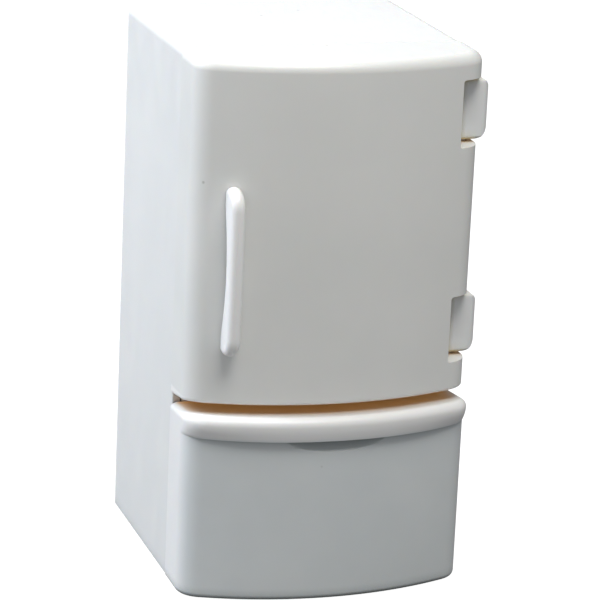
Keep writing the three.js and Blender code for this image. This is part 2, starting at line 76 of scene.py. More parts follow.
def rounded_box_outline(low, high, top, bottom, steps=10):
    """Upright rectangle seen from the front or the side, with its own top and bottom radius."""
    return rounded_outline([(low[0], low[1], bottom), (high[0], low[1], bottom),
                            (high[0], high[1], top), (low[0], high[1], top)], steps)


def placed(name, data):
    """New object in the scene, made from its data."""
    thing = bpy.data.objects.new(name, data)
    bpy.context.scene.collection.objects.link(thing)
    return thing


def as_piece(name, skin):
    """Object made from a bmesh, which is used up."""
    mesh = bpy.data.meshes.new(name)
    skin.to_mesh(mesh)
    skin.free()
    return placed(name, mesh)


def loft(name, rings):
    """Closed skin through rings of equal length, with a flat end at the first and last ring."""
    skin = bmesh.new()
    rows = [[skin.verts.new(point) for point in ring] for ring in rings]
    for near, far in zip(rows, rows[1:]):
        for i in range(len(near)):
            j = (i + 1) % len(near)
            skin.faces.new((near[i], near[j], far[j], far[i]))
    skin.faces.new(list(reversed(rows[0])))
    skin.faces.new(rows[-1])
    bmesh.ops.remove_doubles(skin, verts=skin.verts, dist=0.0005 * MM)
    bmesh.ops.recalc_face_normals(skin, faces=skin.faces)
    return as_piece(name, skin)


def upright_plate(name, low, high, top, bottom, stations, steps):
    """Rectangle seen from the front, run back through its stations, which are (depth, inset) pairs."""
    rings = []
    for y, inset in stations:
        outline = rounded_box_outline((low.x + inset, low.z + inset), (high.x - inset, high.z - inset),
                                      top, bottom, steps)
        rings.append([(a, y, b) for a, b in outline])
    return loft(name, rings)


def edge_rounding(start, end, radius_start, radius_end, steps=6):
    """Stations along an edge-rounded run: (position, inset) pairs from start to end."""
    stations = []
    sign = 1 if end > start else -1
    for k in range(steps + 1):
        turn = math.pi / 2 * k / steps
        if radius_start:
            stations.append((start + sign * radius_start * (1 - math.cos(turn)),
                             radius_start * (1 - math.sin(turn))))
        elif k == 0:
            stations.append((start, 0))
    for k in range(steps + 1):
        turn = math.pi / 2 * k / steps
        if radius_end:
            stations.append((end - sign * radius_end * (1 - math.sin(turn)),
                             radius_end * (1 - math.cos(turn))))
        elif k == 0:
            stations.append((end, 0))
    return stations


def block(name, corner, opposite, radius=0.0, steps=3):
    """Box between two opposite corners, in any order, with rounded upright and lying edges."""
    low = [min(pair) for pair in zip(corner, opposite)]
    high = [max(pair) for pair in zip(corner, opposite)]
    rings = []
    for z, inset in edge_rounding(low[2], high[2], radius, radius, steps):
        turn = max(radius - inset, 0.02 * MM) if radius else 0
        outline = rounded_box_outline((low[0] + inset, low[1] + inset), (high[0] - inset, high[1] - inset),
                                      turn, turn, steps)
        rings.append([(a, b, z) for a, b in outline])
    return loft(name, rings)


def turned(name, profile, centre, along, sides):
    """Turned part along Y or Z, centred on the other two axes: profile is (place, radius) pairs."""
    rings = []
    for place, radius in profile:
        ring = []
        for k in range(sides):
            turn = 2 * math.pi * k / sides
            a = centre[0] + radius * math.cos(turn)
            b = centre[1] + radius * math.sin(turn)
            ring.append((a, place, b) if along == "Y" else (a, b, place))
        rings.append(ring)
    return loft(name, rings)


def rod(name, centre, radius, start, end, along="Z", sides=32, chamfer=0.0):
    """Round bar, with chamfered ends where a chamfer is given."""
    profile = [(start, radius), (end, radius)]
    if chamfer:
        profile = [(start, radius - chamfer), (start + chamfer, radius),
                   (end - chamfer, radius), (end, radius - chamfer)]
    return turned(name, profile, centre, along, sides)


def apply_modifiers(piece):
    """The piece's mesh as its modifiers leave it."""
    seen = bpy.context.evaluated_depsgraph_get()
    piece.data = bpy.data.meshes.new_from_object(piece.evaluated_get(seen))
    piece.modifiers.clear()


def combine(base, tool, operation="DIFFERENCE"):
    """Cuts the tool from the base, joins it on or keeps what they share, and drops the tool."""
    step = base.modifiers.new("combine", "BOOLEAN")
    step.operation = operation
    step.object = tool
    step.solver = "EXACT"
    apply_modifiers(base)
    bpy.data.objects.remove(tool)


def soften(piece, width, segments=3, angle=40):
    """Rounds every edge sharper than the angle, as a mould does, and smooths the shading."""
    weld_reach = 0.004 * MM
    weld = bmesh.new()
    weld.from_mesh(piece.data)
    bmesh.ops.remove_doubles(weld, verts=weld.verts, dist=weld_reach)
    bmesh.ops.dissolve_degenerate(weld, edges=weld.edges, dist=weld_reach)
    weld.to_mesh(piece.data)
    weld.free()
    if width:
        step = piece.modifiers.new("edges", "BEVEL")
        step.width = width
        step.segments = segments
        step.limit_method = "ANGLE"
        step.angle_limit = math.radians(angle)
        step.use_clamp_overlap = True
        step.miter_outer = "MITER_ARC"
        apply_modifiers(piece)
    piece.data.polygons.foreach_set("use_smooth", [True] * len(piece.data.polygons))
    piece.data.set_sharp_from_angle(angle=math.radians(50))
    flat = piece.modifiers.new("flat_faces", "WEIGHTED_NORMAL")
    flat.keep_sharp = True
    flat.weight = 60
    apply_modifiers(piece)


shell_low, shell_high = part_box("cabinet_shell")
SHELL_WALL = 1.8 * MM
SHELL_TOP_RADIUS = 2.6 * MM
SHELL_BASE_RADIUS = 0.7 * MM
SHELL_BACK_RADIUS = 0.8 * MM
SHELL_RIM_RADIUS = 0.25 * MM
HOLLOW_TOP_RADIUS = 0.8 * MM
HOLLOW_BASE_RADIUS = 0.5 * MM
POST_REACH = 7.6 * MM        # posts for the cover screws, from the outside of the shell
POST_GAP = 0.3 * MM          # between a post and the liner or the cover
SCREW_HOLE = 0.62 * MM
TAB_FROM = 2.2 * MM          # tab of a hinge knuckle, from the cabinet's rim
TAB_TO = 6.2 * MM
TAB_HALF = 3.2 * MM
TAB_FIT = 0.15 * MM
cover_low, cover_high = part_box("rear_cover")
liner_low, liner_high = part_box("cabinet_liner")


def shell_ring(y, inset):
    """Outline of the cabinet's outside at depth y."""
    outline = rounded_box_outline(
        (shell_low.x + inset, shell_low.z + inset), (shell_high.x - inset, shell_high.z - inset),
        max(SHELL_TOP_RADIUS - inset, 0.3 * MM), max(SHELL_BASE_RADIUS - inset, 0.1 * MM), 12)
    return [(a, y, b) for a, b in outline]


cabinet_shell = loft("cabinet_shell_moulding", [
    shell_ring(y, inset)
    for y, inset in edge_rounding(shell_low.y, shell_high.y, SHELL_RIM_RADIUS, SHELL_BACK_RADIUS)])
hollow_run = [(shell_low.y - MM, SHELL_WALL), (shell_high.y + MM, SHELL_WALL)]
combine(cabinet_shell, upright_plate("shell_hollow", shell_low, shell_high, HOLLOW_TOP_RADIUS,
                                     HOLLOW_BASE_RADIUS, hollow_run, 6))
screw_boxes = [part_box(f"rear_cover_screw_{i}") for i in (1, 2, 3, 4)]
screw_centres = [((low.x + high.x) / 2, (low.z + high.z) / 2) for low, high in screw_boxes]
for centre in screw_centres:
    side = 1 if centre[0] > 0 else -1
    upper = centre[1] > shell_high.z / 2
    wall_x = (shell_high.x - SHELL_WALL / 2) * side
    wall_z = shell_high.z - SHELL_WALL / 2 if upper else SHELL_WALL / 2
    post_x = (shell_high.x - POST_REACH) * side
    post_z = shell_high.z - POST_REACH if upper else POST_REACH
    post = block("screw_post", (wall_x, liner_high.y + POST_GAP, wall_z),
                 (post_x, cover_low.y - POST_GAP, post_z), 0.4 * MM)
    combine(cabinet_shell, post, "UNION")
    combine(cabinet_shell, rod("screw_hole", centre, SCREW_HOLE, liner_high.y, shell_high.y, "Y", 20))
for node in ("upper_hinge_knuckle", "lower_hinge_knuckle"):
    low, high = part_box(node)
    middle = (low.z + high.z) / 2
    slot_half = TAB_HALF + TAB_FIT
    slot = block("knuckle_slot",
                 (shell_high.x - SHELL_WALL - MM, shell_low.y + TAB_FROM - TAB_FIT, middle - slot_half),
                 (shell_high.x + MM, shell_low.y + TAB_TO + TAB_FIT, middle + slot_half))
    combine(cabinet_shell, slot)
soften(cabinet_shell, 0.15 * MM, 2)


def node_group(name, inputs, outputs):
    """Empty shader group with named sockets, and its input and output nodes."""
    group = bpy.data.node_groups.new(name, "ShaderNodeTree")
    for label, kind, value in inputs:
        socket = group.interface.new_socket(label, in_out="INPUT", socket_type=kind)
        socket.default_value = value
    for label, kind in outputs:
        group.interface.new_socket(label, in_out="OUTPUT", socket_type=kind)
    return group, group.nodes.new("NodeGroupInput"), group.nodes.new("NodeGroupOutput")


def feed(group, socket, given):
    """Gives a socket a plain value, or a link from another socket."""
    if isinstance(given, bpy.types.NodeSocket):
        group.links.new(given, socket)
    else:
        socket.default_value = given


def mixed(group, factor, colour_a, colour_b):
    """Mix of two colours by a factor, each given as a socket or a plain colour."""
    mix = group.nodes.new("ShaderNodeMix")
    mix.data_type = "RGBA"
    for label, given in (("Factor", factor), ("A", colour_a), ("B", colour_b)):
        feed(group, mix.inputs[label], given)
    return mix.outputs["Result"]


def ramped(group, value, start, end, low=0.0, high=1.0):
    """Value brought from start..end to low..high and held at the ends."""
    ramp = group.nodes.new("ShaderNodeMapRange")
    for label, given in (("Value", value), ("From Min", start), ("From Max", end),
                         ("To Min", low), ("To Max", high)):
        feed(group, ramp.inputs[label], given)
    return ramp.outputs["Result"]


def calculated(group, operation, *terms):
    """One step of arithmetic on sockets or plain numbers."""
    step = group.nodes.new("ShaderNodeMath")
    step.operation = operation
    for socket, given in zip(step.inputs, terms):
        feed(group, socket, given)
    return step.outputs["Value"]


def noise(group, place, scale, detail):
    """Noise texture over a socket that gives the place."""
    texture = group.nodes.new("ShaderNodeTexNoise")
    texture.inputs["Scale"].default_value = scale
    texture.inputs["Detail"].default_value = detail
    group.links.new(place, texture.inputs["Vector"])
    return texture.outputs["Fac"]


def moulded_surface_and_painted_light():
    """Shader group: mottling, specks, painted shade in shut-in corners, painted glow of seeping light, hair
    scratches and fine grain.
    """
    group, given, result = node_group("moulded_surface_and_painted_light", [
        ("Colour", "NodeSocketColor", (0.8, 0.8, 0.8, 1)),
        ("Shade", "NodeSocketColor", (0.7, 0.7, 0.7, 1)),
        ("Roughness", "NodeSocketFloat", 0.35),
        ("Grain", "NodeSocketFloat", 0.2),
        # Corner is the colour of painted shade in shut-in corners; Seep is the colour of painted glow in
        # narrow gaps, also sent out as Glow.
        ("Corner", "NodeSocketColor", (0.3, 0.32, 0.32, 1)),
        ("Corner start", "NodeSocketFloat", 0.6),
        ("Corner amount", "NodeSocketFloat", 0.5),
        ("Seep", "NodeSocketColor", (0.66, 0.34, 0.08, 1)),
        ("Seep amount", "NodeSocketFloat", 0.0),
    ], [("Colour", "NodeSocketColor"), ("Roughness", "NodeSocketFloat"), ("Normal", "NodeSocketVector"),
        ("Glow", "NodeSocketColor")])
    nodes = group.nodes
    links = group.links
    place = nodes.new("ShaderNodeTexCoord").outputs["Object"]
    mottle = noise(group, place, 55, 5)
    spread = ramped(group, mottle, 0.35, 0.7)
    colour = mixed(group, spread, given.outputs["Colour"], given.outputs["Shade"])
    # A few dark specks were moulded in.
    scatter = nodes.new("ShaderNodeTexVoronoi")
    scatter.inputs["Scale"].default_value = 75
    links.new(place, scatter.inputs["Vector"])
    dot = ramped(group, scatter.outputs["Distance"], 0.035, 0.015, 0, 0.5)
    colour = mixed(group, dot, colour, (0.3, 0.29, 0.26, 1))
    # Painted shade: where the ambient-occlusion mask finds shut-in corners, the colour is mixed towards the
    # darker Corner colour. Painted glow: in narrow gaps it is mixed towards the warm Seep colour, which is
    # also sent out as glow, standing in for light seeping through two walls.
    shut_in = nodes.new("ShaderNodeAmbientOcclusion")
    shut_in.samples = 6
    shut_in.inputs["Distance"].default_value = 3.2 * MM
    corner = ramped(group, shut_in.outputs["AO"], given.outputs["Corner start"], 0.2)
    painted_shade_share = calculated(group, "MULTIPLY", corner, given.outputs["Corner amount"])
    colour = mixed(group, painted_shade_share, colour, given.outputs["Corner"])
    gap = ramped(group, shut_in.outputs["AO"], 0.64, 0.24)
    painted_glow_share = calculated(group, "MULTIPLY", gap, given.outputs["Seep amount"])
    colour = mixed(group, painted_glow_share, colour, given.outputs["Seep"])
    links.new(colour, result.inputs["Colour"])
    streaks = ramped(group, mottle, 0.2, 0.8, 0.75, 1.15)
    glow_share = calculated(group, "MULTIPLY", painted_glow_share, streaks)
    links.new(mixed(group, glow_share, (0, 0, 0, 1), given.outputs["Seep"]), result.inputs["Glow"])
    # Hair scratches from play change the gloss only.
    stretch = nodes.new("ShaderNodeMapping")
    stretch.inputs["Scale"].default_value = (900, 140, 60)
    stretch.inputs["Rotation"].default_value = (0.3, 0.5, 0.2)
    links.new(place, stretch.inputs["Vector"])
    hair = noise(group, stretch.outputs["Vector"], 1.6, 3)
    rub = ramped(group, hair, 0.3, 0.75, -0.05, 0.09)
    links.new(calculated(group, "ADD", given.outputs["Roughness"], rub), result.inputs["Roughness"])
    fine = noise(group, place, 2600, 2)
    flow = noise(group, place, 130, 1)
    height = calculated(group, "MULTIPLY_ADD", fine, 0.12, flow)
    bump = nodes.new("ShaderNodeBump")
    bump.inputs["Distance"].default_value = 0.12 * MM
    links.new(given.outputs["Grain"], bump.inputs["Strength"])
    links.new(height, bump.inputs["Height"])
    links.new(bump.outputs["Normal"], result.inputs["Normal"])
    return group


surface_group = moulded_surface_and_painted_light()


def finished(name, colour, shade, roughness, grain, **settings):
    """Material whose surface comes from the shared group; settings are more of the group's inputs."""
    material = bpy.data.materials.new(name)
    material.use_nodes = True
    tree = material.node_tree
    shader = tree.nodes["Principled BSDF"]
    surface = tree.nodes.new("ShaderNodeGroup")
    surface.name = "surface"
    surface.node_tree = surface_group
    surface.inputs["Colour"].default_value = (*colour, 1)
    surface.inputs["Shade"].default_value = (*shade, 1)
    surface.inputs["Roughness"].default_value = roughness
    surface.inputs["Grain"].default_value = grain
    for setting, value in settings.items():
        surface.inputs[setting.replace("_", " ").capitalize()].default_value = value
    tree.links.new(surface.outputs["Colour"], shader.inputs["Base Color"])
    tree.links.new(surface.outputs["Roughness"], shader.inputs["Roughness"])
    tree.links.new(surface.outputs["Normal"], shader.inputs["Normal"])
    return material, shader


def plastic(name, colour, shade, roughness, grain, glow=0.0, **settings):
    """Opaque moulded plastic with a little subsurface scattering; a glow, where given, is painted light
    sent out in the seep colour.
    """
    material, shader = finished(name, colour, shade, roughness, grain, **settings)
    if glow:
        tree = material.node_tree
        tree.links.new(tree.nodes["surface"].outputs["Glow"], shader.inputs["Emission Color"])
        shader.inputs["Emission Strength"].default_value = glow
    shader.inputs["IOR"].default_value = 1.5
    shader.inputs["Subsurface Weight"].default_value = 0.12
    shader.inputs["Subsurface Radius"].default_value = (1.0, 0.62, 0.35)
    shader.inputs["Subsurface Scale"].default_value = 1.2 * MM
    return material


# Painted shade: the Corner settings darken shut-in corners, such as the seam beside the door.
shell_white = plastic("shell_white_styrene", (0.86, 0.865, 0.85), (0.83, 0.84, 0.83), 0.36, 0.16,
                      corner=(0.42, 0.44, 0.44, 1), corner_start=0.93, corner_amount=0.6)
cabinet_shell.data.materials.append(shell_white)
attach(cabinet_shell, "cabinet")
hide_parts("cabinet_shell")


# ---------------------------------------------------------------- cabinet liner
# One off-white moulding that lines the cabinet: the refrigerator bay above, the freezer bay below, and
# between them a floor hollow from behind. Ledges along its side walls carry the shelves.

LINER_WALL = 1.2 * MM
BAY_CORNER = 0.9 * MM        # small enough to clear the corners of the shelves
LEDGE_WIDTH = 2.2 * MM
LEDGE_THICK = 1.2 * MM
LEDGE_START = 1.4 * MM       # behind the front of its shelf
BITE = 0.3 * MM              # how far pieces of one moulding reach into each other
cabinet_liner = upright_plate("cabinet_liner_moulding", liner_low, liner_high, 0.7 * MM, 0.6 * MM,
                              [(liner_low.y, 0), (liner_high.y, 0)], 5)
bay_half = liner_high.x - LINER_WALL
bay_back = liner_high.y - LINER_WALL
COLD_FLOOR = 45.6 * MM
FREEZER_CEILING = 41.2 * MM
cold_ceiling = liner_high.z - LINER_WALL
for floor_z, ceiling_z in ((COLD_FLOOR, cold_ceiling), (liner_low.z + LINER_WALL, FREEZER_CEILING)):
    combine(cabinet_liner, block("bay", (-bay_half, liner_low.y - 4 * MM, floor_z),
                                 (bay_half, bay_back, ceiling_z), BAY_CORNER, 4))
combine(cabinet_liner, block("floor_hollow",
                             (-40 * MM, liner_low.y + LINER_WALL, FREEZER_CEILING + LINER_WALL),
                             (40 * MM, 30 * MM, COLD_FLOOR - LINER_WALL), 0.4 * MM))
shelf_names = ("crisper_cover", "middle_shelf", "upper_shelf")
SHELF_LIFT = 0.15 * MM       # the shelf lies this much above its ledge
shelf_boxes = {name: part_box(name) for name in shelf_names}
PLATE_THICK = 1.2 * MM
SHELF_LIP_RISE = 0.4 * MM
shelf_levels = {name: high.z - SHELF_LIP_RISE - PLATE_THICK - SHELF_LIFT
                for name, (low, high) in shelf_boxes.items()}
for name, level in shelf_levels.items():
    low, high = shelf_boxes[name]
    for side in (-1, 1):
        ledge = block("ledge", (side * (bay_half - LEDGE_WIDTH), low.y + LEDGE_START, level - LEDGE_THICK),
                      (side * (bay_half + BITE), bay_back + BITE, level), 0.25 * MM)
        combine(cabinet_liner, ledge, "UNION")
soften(cabinet_liner, 0.2 * MM, 2)
# Painted shade: the Corner settings darken the shut-in corners of the bays.
liner_white = plastic("liner_off_white_styrene", (0.84, 0.835, 0.79), (0.8, 0.795, 0.75), 0.46, 0.3,
                      corner=(0.45, 0.43, 0.38, 1), corner_amount=0.5)
cabinet_liner.data.materials.append(liner_white)
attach(cabinet_liner, "cabinet")
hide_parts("cabinet_liner")


# ---------------------------------------------------------------- drawer runners
# Two angle strips of the liner's off-white styrene, each with three gussets, glued along the side
# walls of the freezer bay. The flanges of the tub slide on them.

RUNNER_THICK = 1.6 * MM
RUNNER_WEB = 0.6 * MM
GUSSET_THICK = 0.7 * MM
for side, word in ((-1, "left"), (1, "right")):
    low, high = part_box(f"drawer_runner_{word}")
    rail = block(f"runner_{word}", (low.x, low.y, high.z - RUNNER_THICK), high, 0.2 * MM)
    wall_x = low.x if side < 0 else high.x - RUNNER_WEB
    web = block("runner_web", (wall_x, low.y, low.z), (wall_x + RUNNER_WEB, high.y, high.z), 0.15 * MM)
    combine(rail, web, "UNION")
    for k in range(3):
        y = low.y + (high.y - low.y) * (0.2 + 0.3 * k)
        gusset = block("gusset", (low.x + 0.2 * MM, y, low.z + 1.2 * MM),
                       (high.x - 0.2 * MM, y + GUSSET_THICK, high.z - RUNNER_THICK / 2), 0.1 * MM)
        combine(rail, gusset, "UNION")
    soften(rail, 0.1 * MM, 2)
    rail.data.materials.append(liner_white)
    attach(rail, "cabinet")
    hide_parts(f"drawer_runner_{word}")


# ---------------------------------------------------------------- shelves
# Three plates of clear styrene that lie loose on the ledges: the lowest one is the lid over the
# crisper. Each has a turned-down front lip and shallow grooves that run from front to back.

clear_styrene, clear_shader = finished("clear_styrene", (0.93, 0.965, 0.98), (0.87, 0.93, 0.96), 0.1, 0.1,
                                       corner_amount=0)
clear_shader.inputs["Transmission Weight"].default_value = 0.88
clear_shader.inputs["IOR"].default_value = 1.3
GROOVES = 9
GROOVE_HALF = 0.6 * MM
GROOVE_DEEP = 0.25 * MM
SHELF_LIP_THICK = 1.2 * MM
SHELF_LIP_FIT = 0.3 * MM     # between the lip's ends and the ledges
lip_half = bay_half - LEDGE_WIDTH - SHELF_LIP_FIT
for name, (low, high) in shelf_boxes.items():
    plate_foot = shelf_levels[name] + SHELF_LIFT
    plate_top = plate_foot + PLATE_THICK
    lip_back = low.y + SHELF_LIP_THICK
    plate = block(f"{name}_plate", (low.x, low.y, plate_foot), (high.x, high.y, plate_top), 0.3 * MM)
    lip = block("shelf_lip", (-lip_half, low.y, low.z), (lip_half, lip_back, high.z), 0.4 * MM)
    combine(plate, lip, "UNION")
    rim = block("shelf_rim", (low.x, low.y, plate_foot), (high.x, lip_back, high.z), 0.3 * MM)
    combine(plate, rim, "UNION")
    pitch = (high.x - low.x) / (GROOVES + 1)
    for k in range(GROOVES):
        x = low.x + pitch * (k + 1)
        groove = block("shelf_groove", (x - GROOVE_HALF, low.y + 3 * MM, plate_top - GROOVE_DEEP),
                       (x + GROOVE_HALF, high.y - 2 * MM, plate_top + MM), 0.2 * MM)
        combine(plate, groove)
    soften(plate, 0.12 * MM, 2)
    plate.data.materials.append(clear_styrene)
    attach(plate, "cabinet")
    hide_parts(name)


# ---------------------------------------------------------------- crisper drawer
# An open tray of clear styrene on the floor of the refrigerator bay. A turned-over strip in the middle
# of its front is the grip, and low ribs stiffen the floor.

CRISPER_WALL = 1.1 * MM
CRISPER_CORNER = 1.2 * MM
CRISPER_RIBS = 4
RIB_HIGH = 0.5 * MM          # above the floor of a tray
GRIP_REACH = 1.6 * MM
GRIP_HALF = 9 * MM
GRIP_FOOT = 3.4 * MM         # below the rim
GRIP_TOP = 2.2 * MM
low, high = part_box("crisper_drawer")
crisper_front = low.y + GRIP_REACH
crisper = block("crisper_tray", (low.x, crisper_front, low.z), high, CRISPER_CORNER, 4)
combine(crisper, block("crisper_hollow",
                       (low.x + CRISPER_WALL, crisper_front + CRISPER_WALL, low.z + CRISPER_WALL),
                       (high.x - CRISPER_WALL, high.y - CRISPER_WALL, high.z + 5 * MM),
                       CRISPER_CORNER - CRISPER_WALL / 2, 4))
combine(crisper, block("crisper_grip", (-GRIP_HALF, low.y, high.z - GRIP_FOOT),
                       (GRIP_HALF, crisper_front + 0.5 * MM, high.z - GRIP_TOP), 0.4 * MM), "UNION")
for k in range(CRISPER_RIBS):
    x = low.x + (high.x - low.x) * (k + 1) / (CRISPER_RIBS + 1)
    rib = block("crisper_rib", (x - 0.4 * MM, crisper_front + 3 * MM, low.z + CRISPER_WALL / 2),
                (x + 0.4 * MM, high.y - 3 * MM, low.z + CRISPER_WALL + RIB_HIGH), 0.2 * MM)
    combine(crisper, rib, "UNION")
soften(crisper, 0.14 * MM, 2)
crisper.data.materials.append(clear_styrene)
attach(crisper, "crisper")
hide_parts("crisper_drawer")


# ---------------------------------------------------------------- rear cover
# A flat white moulding let into the back of the shell. Its louvres only suggest a condenser. Four seats
# take the heads of the screws.

LOUVRES = 9
LOUVRE_PITCH = 7.2 * MM
LOUVRE_START = 42 * MM
LOUVRE_HALF = 21 * MM
LOUVRE_HIGH = 2.4 * MM
LOUVRE_DEEP = 0.7 * MM
LOUVRE_SLANT = 0.75          # share of the depth that the upper edge of a louvre loses
PANEL_HALF = 24 * MM         # raised panel round the louvres, with a fine groove as its edge
PANEL_FOOT = 37.5 * MM
PANEL_HEAD = 107.5 * MM
PANEL_GROOVE = 0.5 * MM
SCREW_CLEARANCE = 0.85 * MM
SEAT_RADIUS = 1.75 * MM
SEAT_DEEP = 1.1 * MM
COVER_EDGE = 0.3 * MM
rear_cover = upright_plate("rear_cover_moulding", cover_low, cover_high, 0.7 * MM, 0.5 * MM,
                           edge_rounding(cover_low.y, cover_high.y, 0, COVER_EDGE, 4), 5)
for k in range(LOUVRES):
    z = LOUVRE_START + k * LOUVRE_PITCH
    wedge = block("louvre", (-LOUVRE_HALF, cover_high.y - LOUVRE_DEEP, z),
                  (LOUVRE_HALF, cover_high.y + MM, z + LOUVRE_HIGH), 0.2 * MM)
    for vertex in wedge.data.vertices:
        if vertex.co.y < cover_high.y and vertex.co.z > z + LOUVRE_HIGH / 2:
            vertex.co.y += LOUVRE_DEEP * LOUVRE_SLANT
    combine(rear_cover, wedge)
line_half = PANEL_HALF + PANEL_GROOVE
panel_line = block("panel_line", (-line_half, cover_high.y - PANEL_GROOVE / 2, PANEL_FOOT - PANEL_GROOVE),
                   (line_half, 30 * MM, PANEL_HEAD + PANEL_GROOVE), 0.1 * MM)
combine(panel_line, block("panel", (-PANEL_HALF, 0, PANEL_FOOT), (PANEL_HALF, 40 * MM, PANEL_HEAD),
                          0.1 * MM))
combine(rear_cover, panel_line)
outside = cover_high.y + MM
for centre in screw_centres:
    combine(rear_cover, rod("screw_clearance", centre, SCREW_CLEARANCE, cover_low.y - MM, outside, "Y", 24))
    combine(rear_cover, rod("screw_seat", centre, SEAT_RADIUS, cover_high.y - SEAT_DEEP, outside, "Y", 36))
soften(rear_cover, 0.12 * MM, 2)
rear_cover.data.materials.append(shell_white)
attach(rear_cover, "cabinet")
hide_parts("rear_cover")


# ---------------------------------------------------------------- rear cover screws
# Four self-tapping screws of zinc-plated steel, with pan heads and a cross recess. They hold the rear
# cover and are driven into the posts inside the shell.

# Painted shade: the Corner settings darken the cross recess and the shut-in thread roots.
zinc, zinc_shader = finished("zinc_plate", (0.62, 0.63, 0.65), (0.5, 0.5, 0.5), 0.34, 0.4,
                             corner=(0.12, 0.11, 0.1, 1), corner_amount=0.6)
zinc_shader.inputs["Metallic"].default_value = 1
random.seed(7)
THREADS = 5
THREAD_PITCH = 0.46 * MM
THREAD_START = 0.4 * MM      # from the tip
THREAD_ROOT = 0.42 * MM      # radius
THREAD_CREST = 0.55 * MM
SHANK_RADIUS = 0.5 * MM
HEAD_RADIUS = 1.5 * MM
HEAD_HIGH = 0.9 * MM
TINY = 0.02 * MM             # radius that closes a turned end
RECESS_HALF = 0.9 * MM
RECESS_SLOT = 0.16 * MM      # half its width
RECESS_DEEP = 0.5 * MM
for i, ((low, high), centre) in enumerate(zip(screw_boxes, screw_centres), 1):
    tip, crown = low.y, high.y
    profile = [(tip, TINY), (tip + 0.25 * MM, 0.3 * MM)]
    for k in range(THREADS):
        start = tip + THREAD_START + k * THREAD_PITCH
        profile += [(start, THREAD_ROOT), (start + 0.14 * MM, THREAD_CREST),
                    (start + 0.18 * MM, THREAD_CREST), (start + 0.32 * MM, THREAD_ROOT)]
    profile += [(crown - HEAD_HIGH - 0.05 * MM, SHANK_RADIUS), (crown - HEAD_HIGH, SHANK_RADIUS),
                (crown - HEAD_HIGH, HEAD_RADIUS - 0.1 * MM), (crown - 0.8 * MM, HEAD_RADIUS),
                (crown - 0.5 * MM, HEAD_RADIUS), (crown - 0.25 * MM, 1.35 * MM),
                (crown - 0.06 * MM, 1.0 * MM), (crown, 0.4 * MM), (crown, TINY)]
    screw = turned(f"cover_screw_{i}", profile, centre, "Y", 40)
    turn = Matrix.Rotation(random.uniform(0, math.pi / 2), 4, "Y")
    move = Matrix.Translation((centre[0], crown, centre[1])) @ turn
    for wide, high_half in ((RECESS_HALF, RECESS_SLOT), (RECESS_SLOT, RECESS_HALF)):
        slot = block("recess", (-wide, -RECESS_DEEP, -high_half), (wide, MM, high_half), 0.05 * MM)
        slot.data.transform(move)
        combine(screw, slot)
    soften(screw, 0.03 * MM, 2)
    screw.data.materials.append(zinc)
    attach(screw, "cabinet")
    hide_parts(f"rear_cover_screw_{i}")


# ---------------------------------------------------------------- hinge knuckles
# Two white lugs, each a barrel round the hinge pin with an arm back along the cabinet's side. A tab on
# the arm is glued into a slot in the cabinet's wall.

def arc(centre, radius, start, end, steps):
    """Points along an arc in plan, from one angle to another."""
    turns = [start + (end - start) * k / steps for k in range(steps + 1)]
    return [Vector(centre) + radius * Vector((math.cos(turn), math.sin(turn))) for turn in turns]


KNUCKLE_RADIUS = 2.6 * MM
KNUCKLE_TOP_RADIUS = 3.2 * MM
KNUCKLE_FOOT_RADIUS = 3.7 * MM
ARM_GAP = 0.15 * MM          # between the arm and the cabinet's side
ARM_CORNER = 2 * MM
ARM_TAIL = 0.8 * MM          # bevel at the arm's back end
ARM_NECK = 2.2 * MM          # the arm's inner face ends this far in front of the cabinet
SIDE_TOP_RADIUS = 1.8 * MM   # seen from the side
SIDE_FOOT_RADIUS = 1.2 * MM
HAIR = 0.01 * MM             # keeps two cutting faces from lying in one plane
front_plane = shell_low.y
pin_low, pin_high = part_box("upper_hinge_pin")
pin_centre = ((pin_low.x + pin_high.x) / 2, (pin_low.y + pin_high.y) / 2)
PIN_BORE = 1 * MM
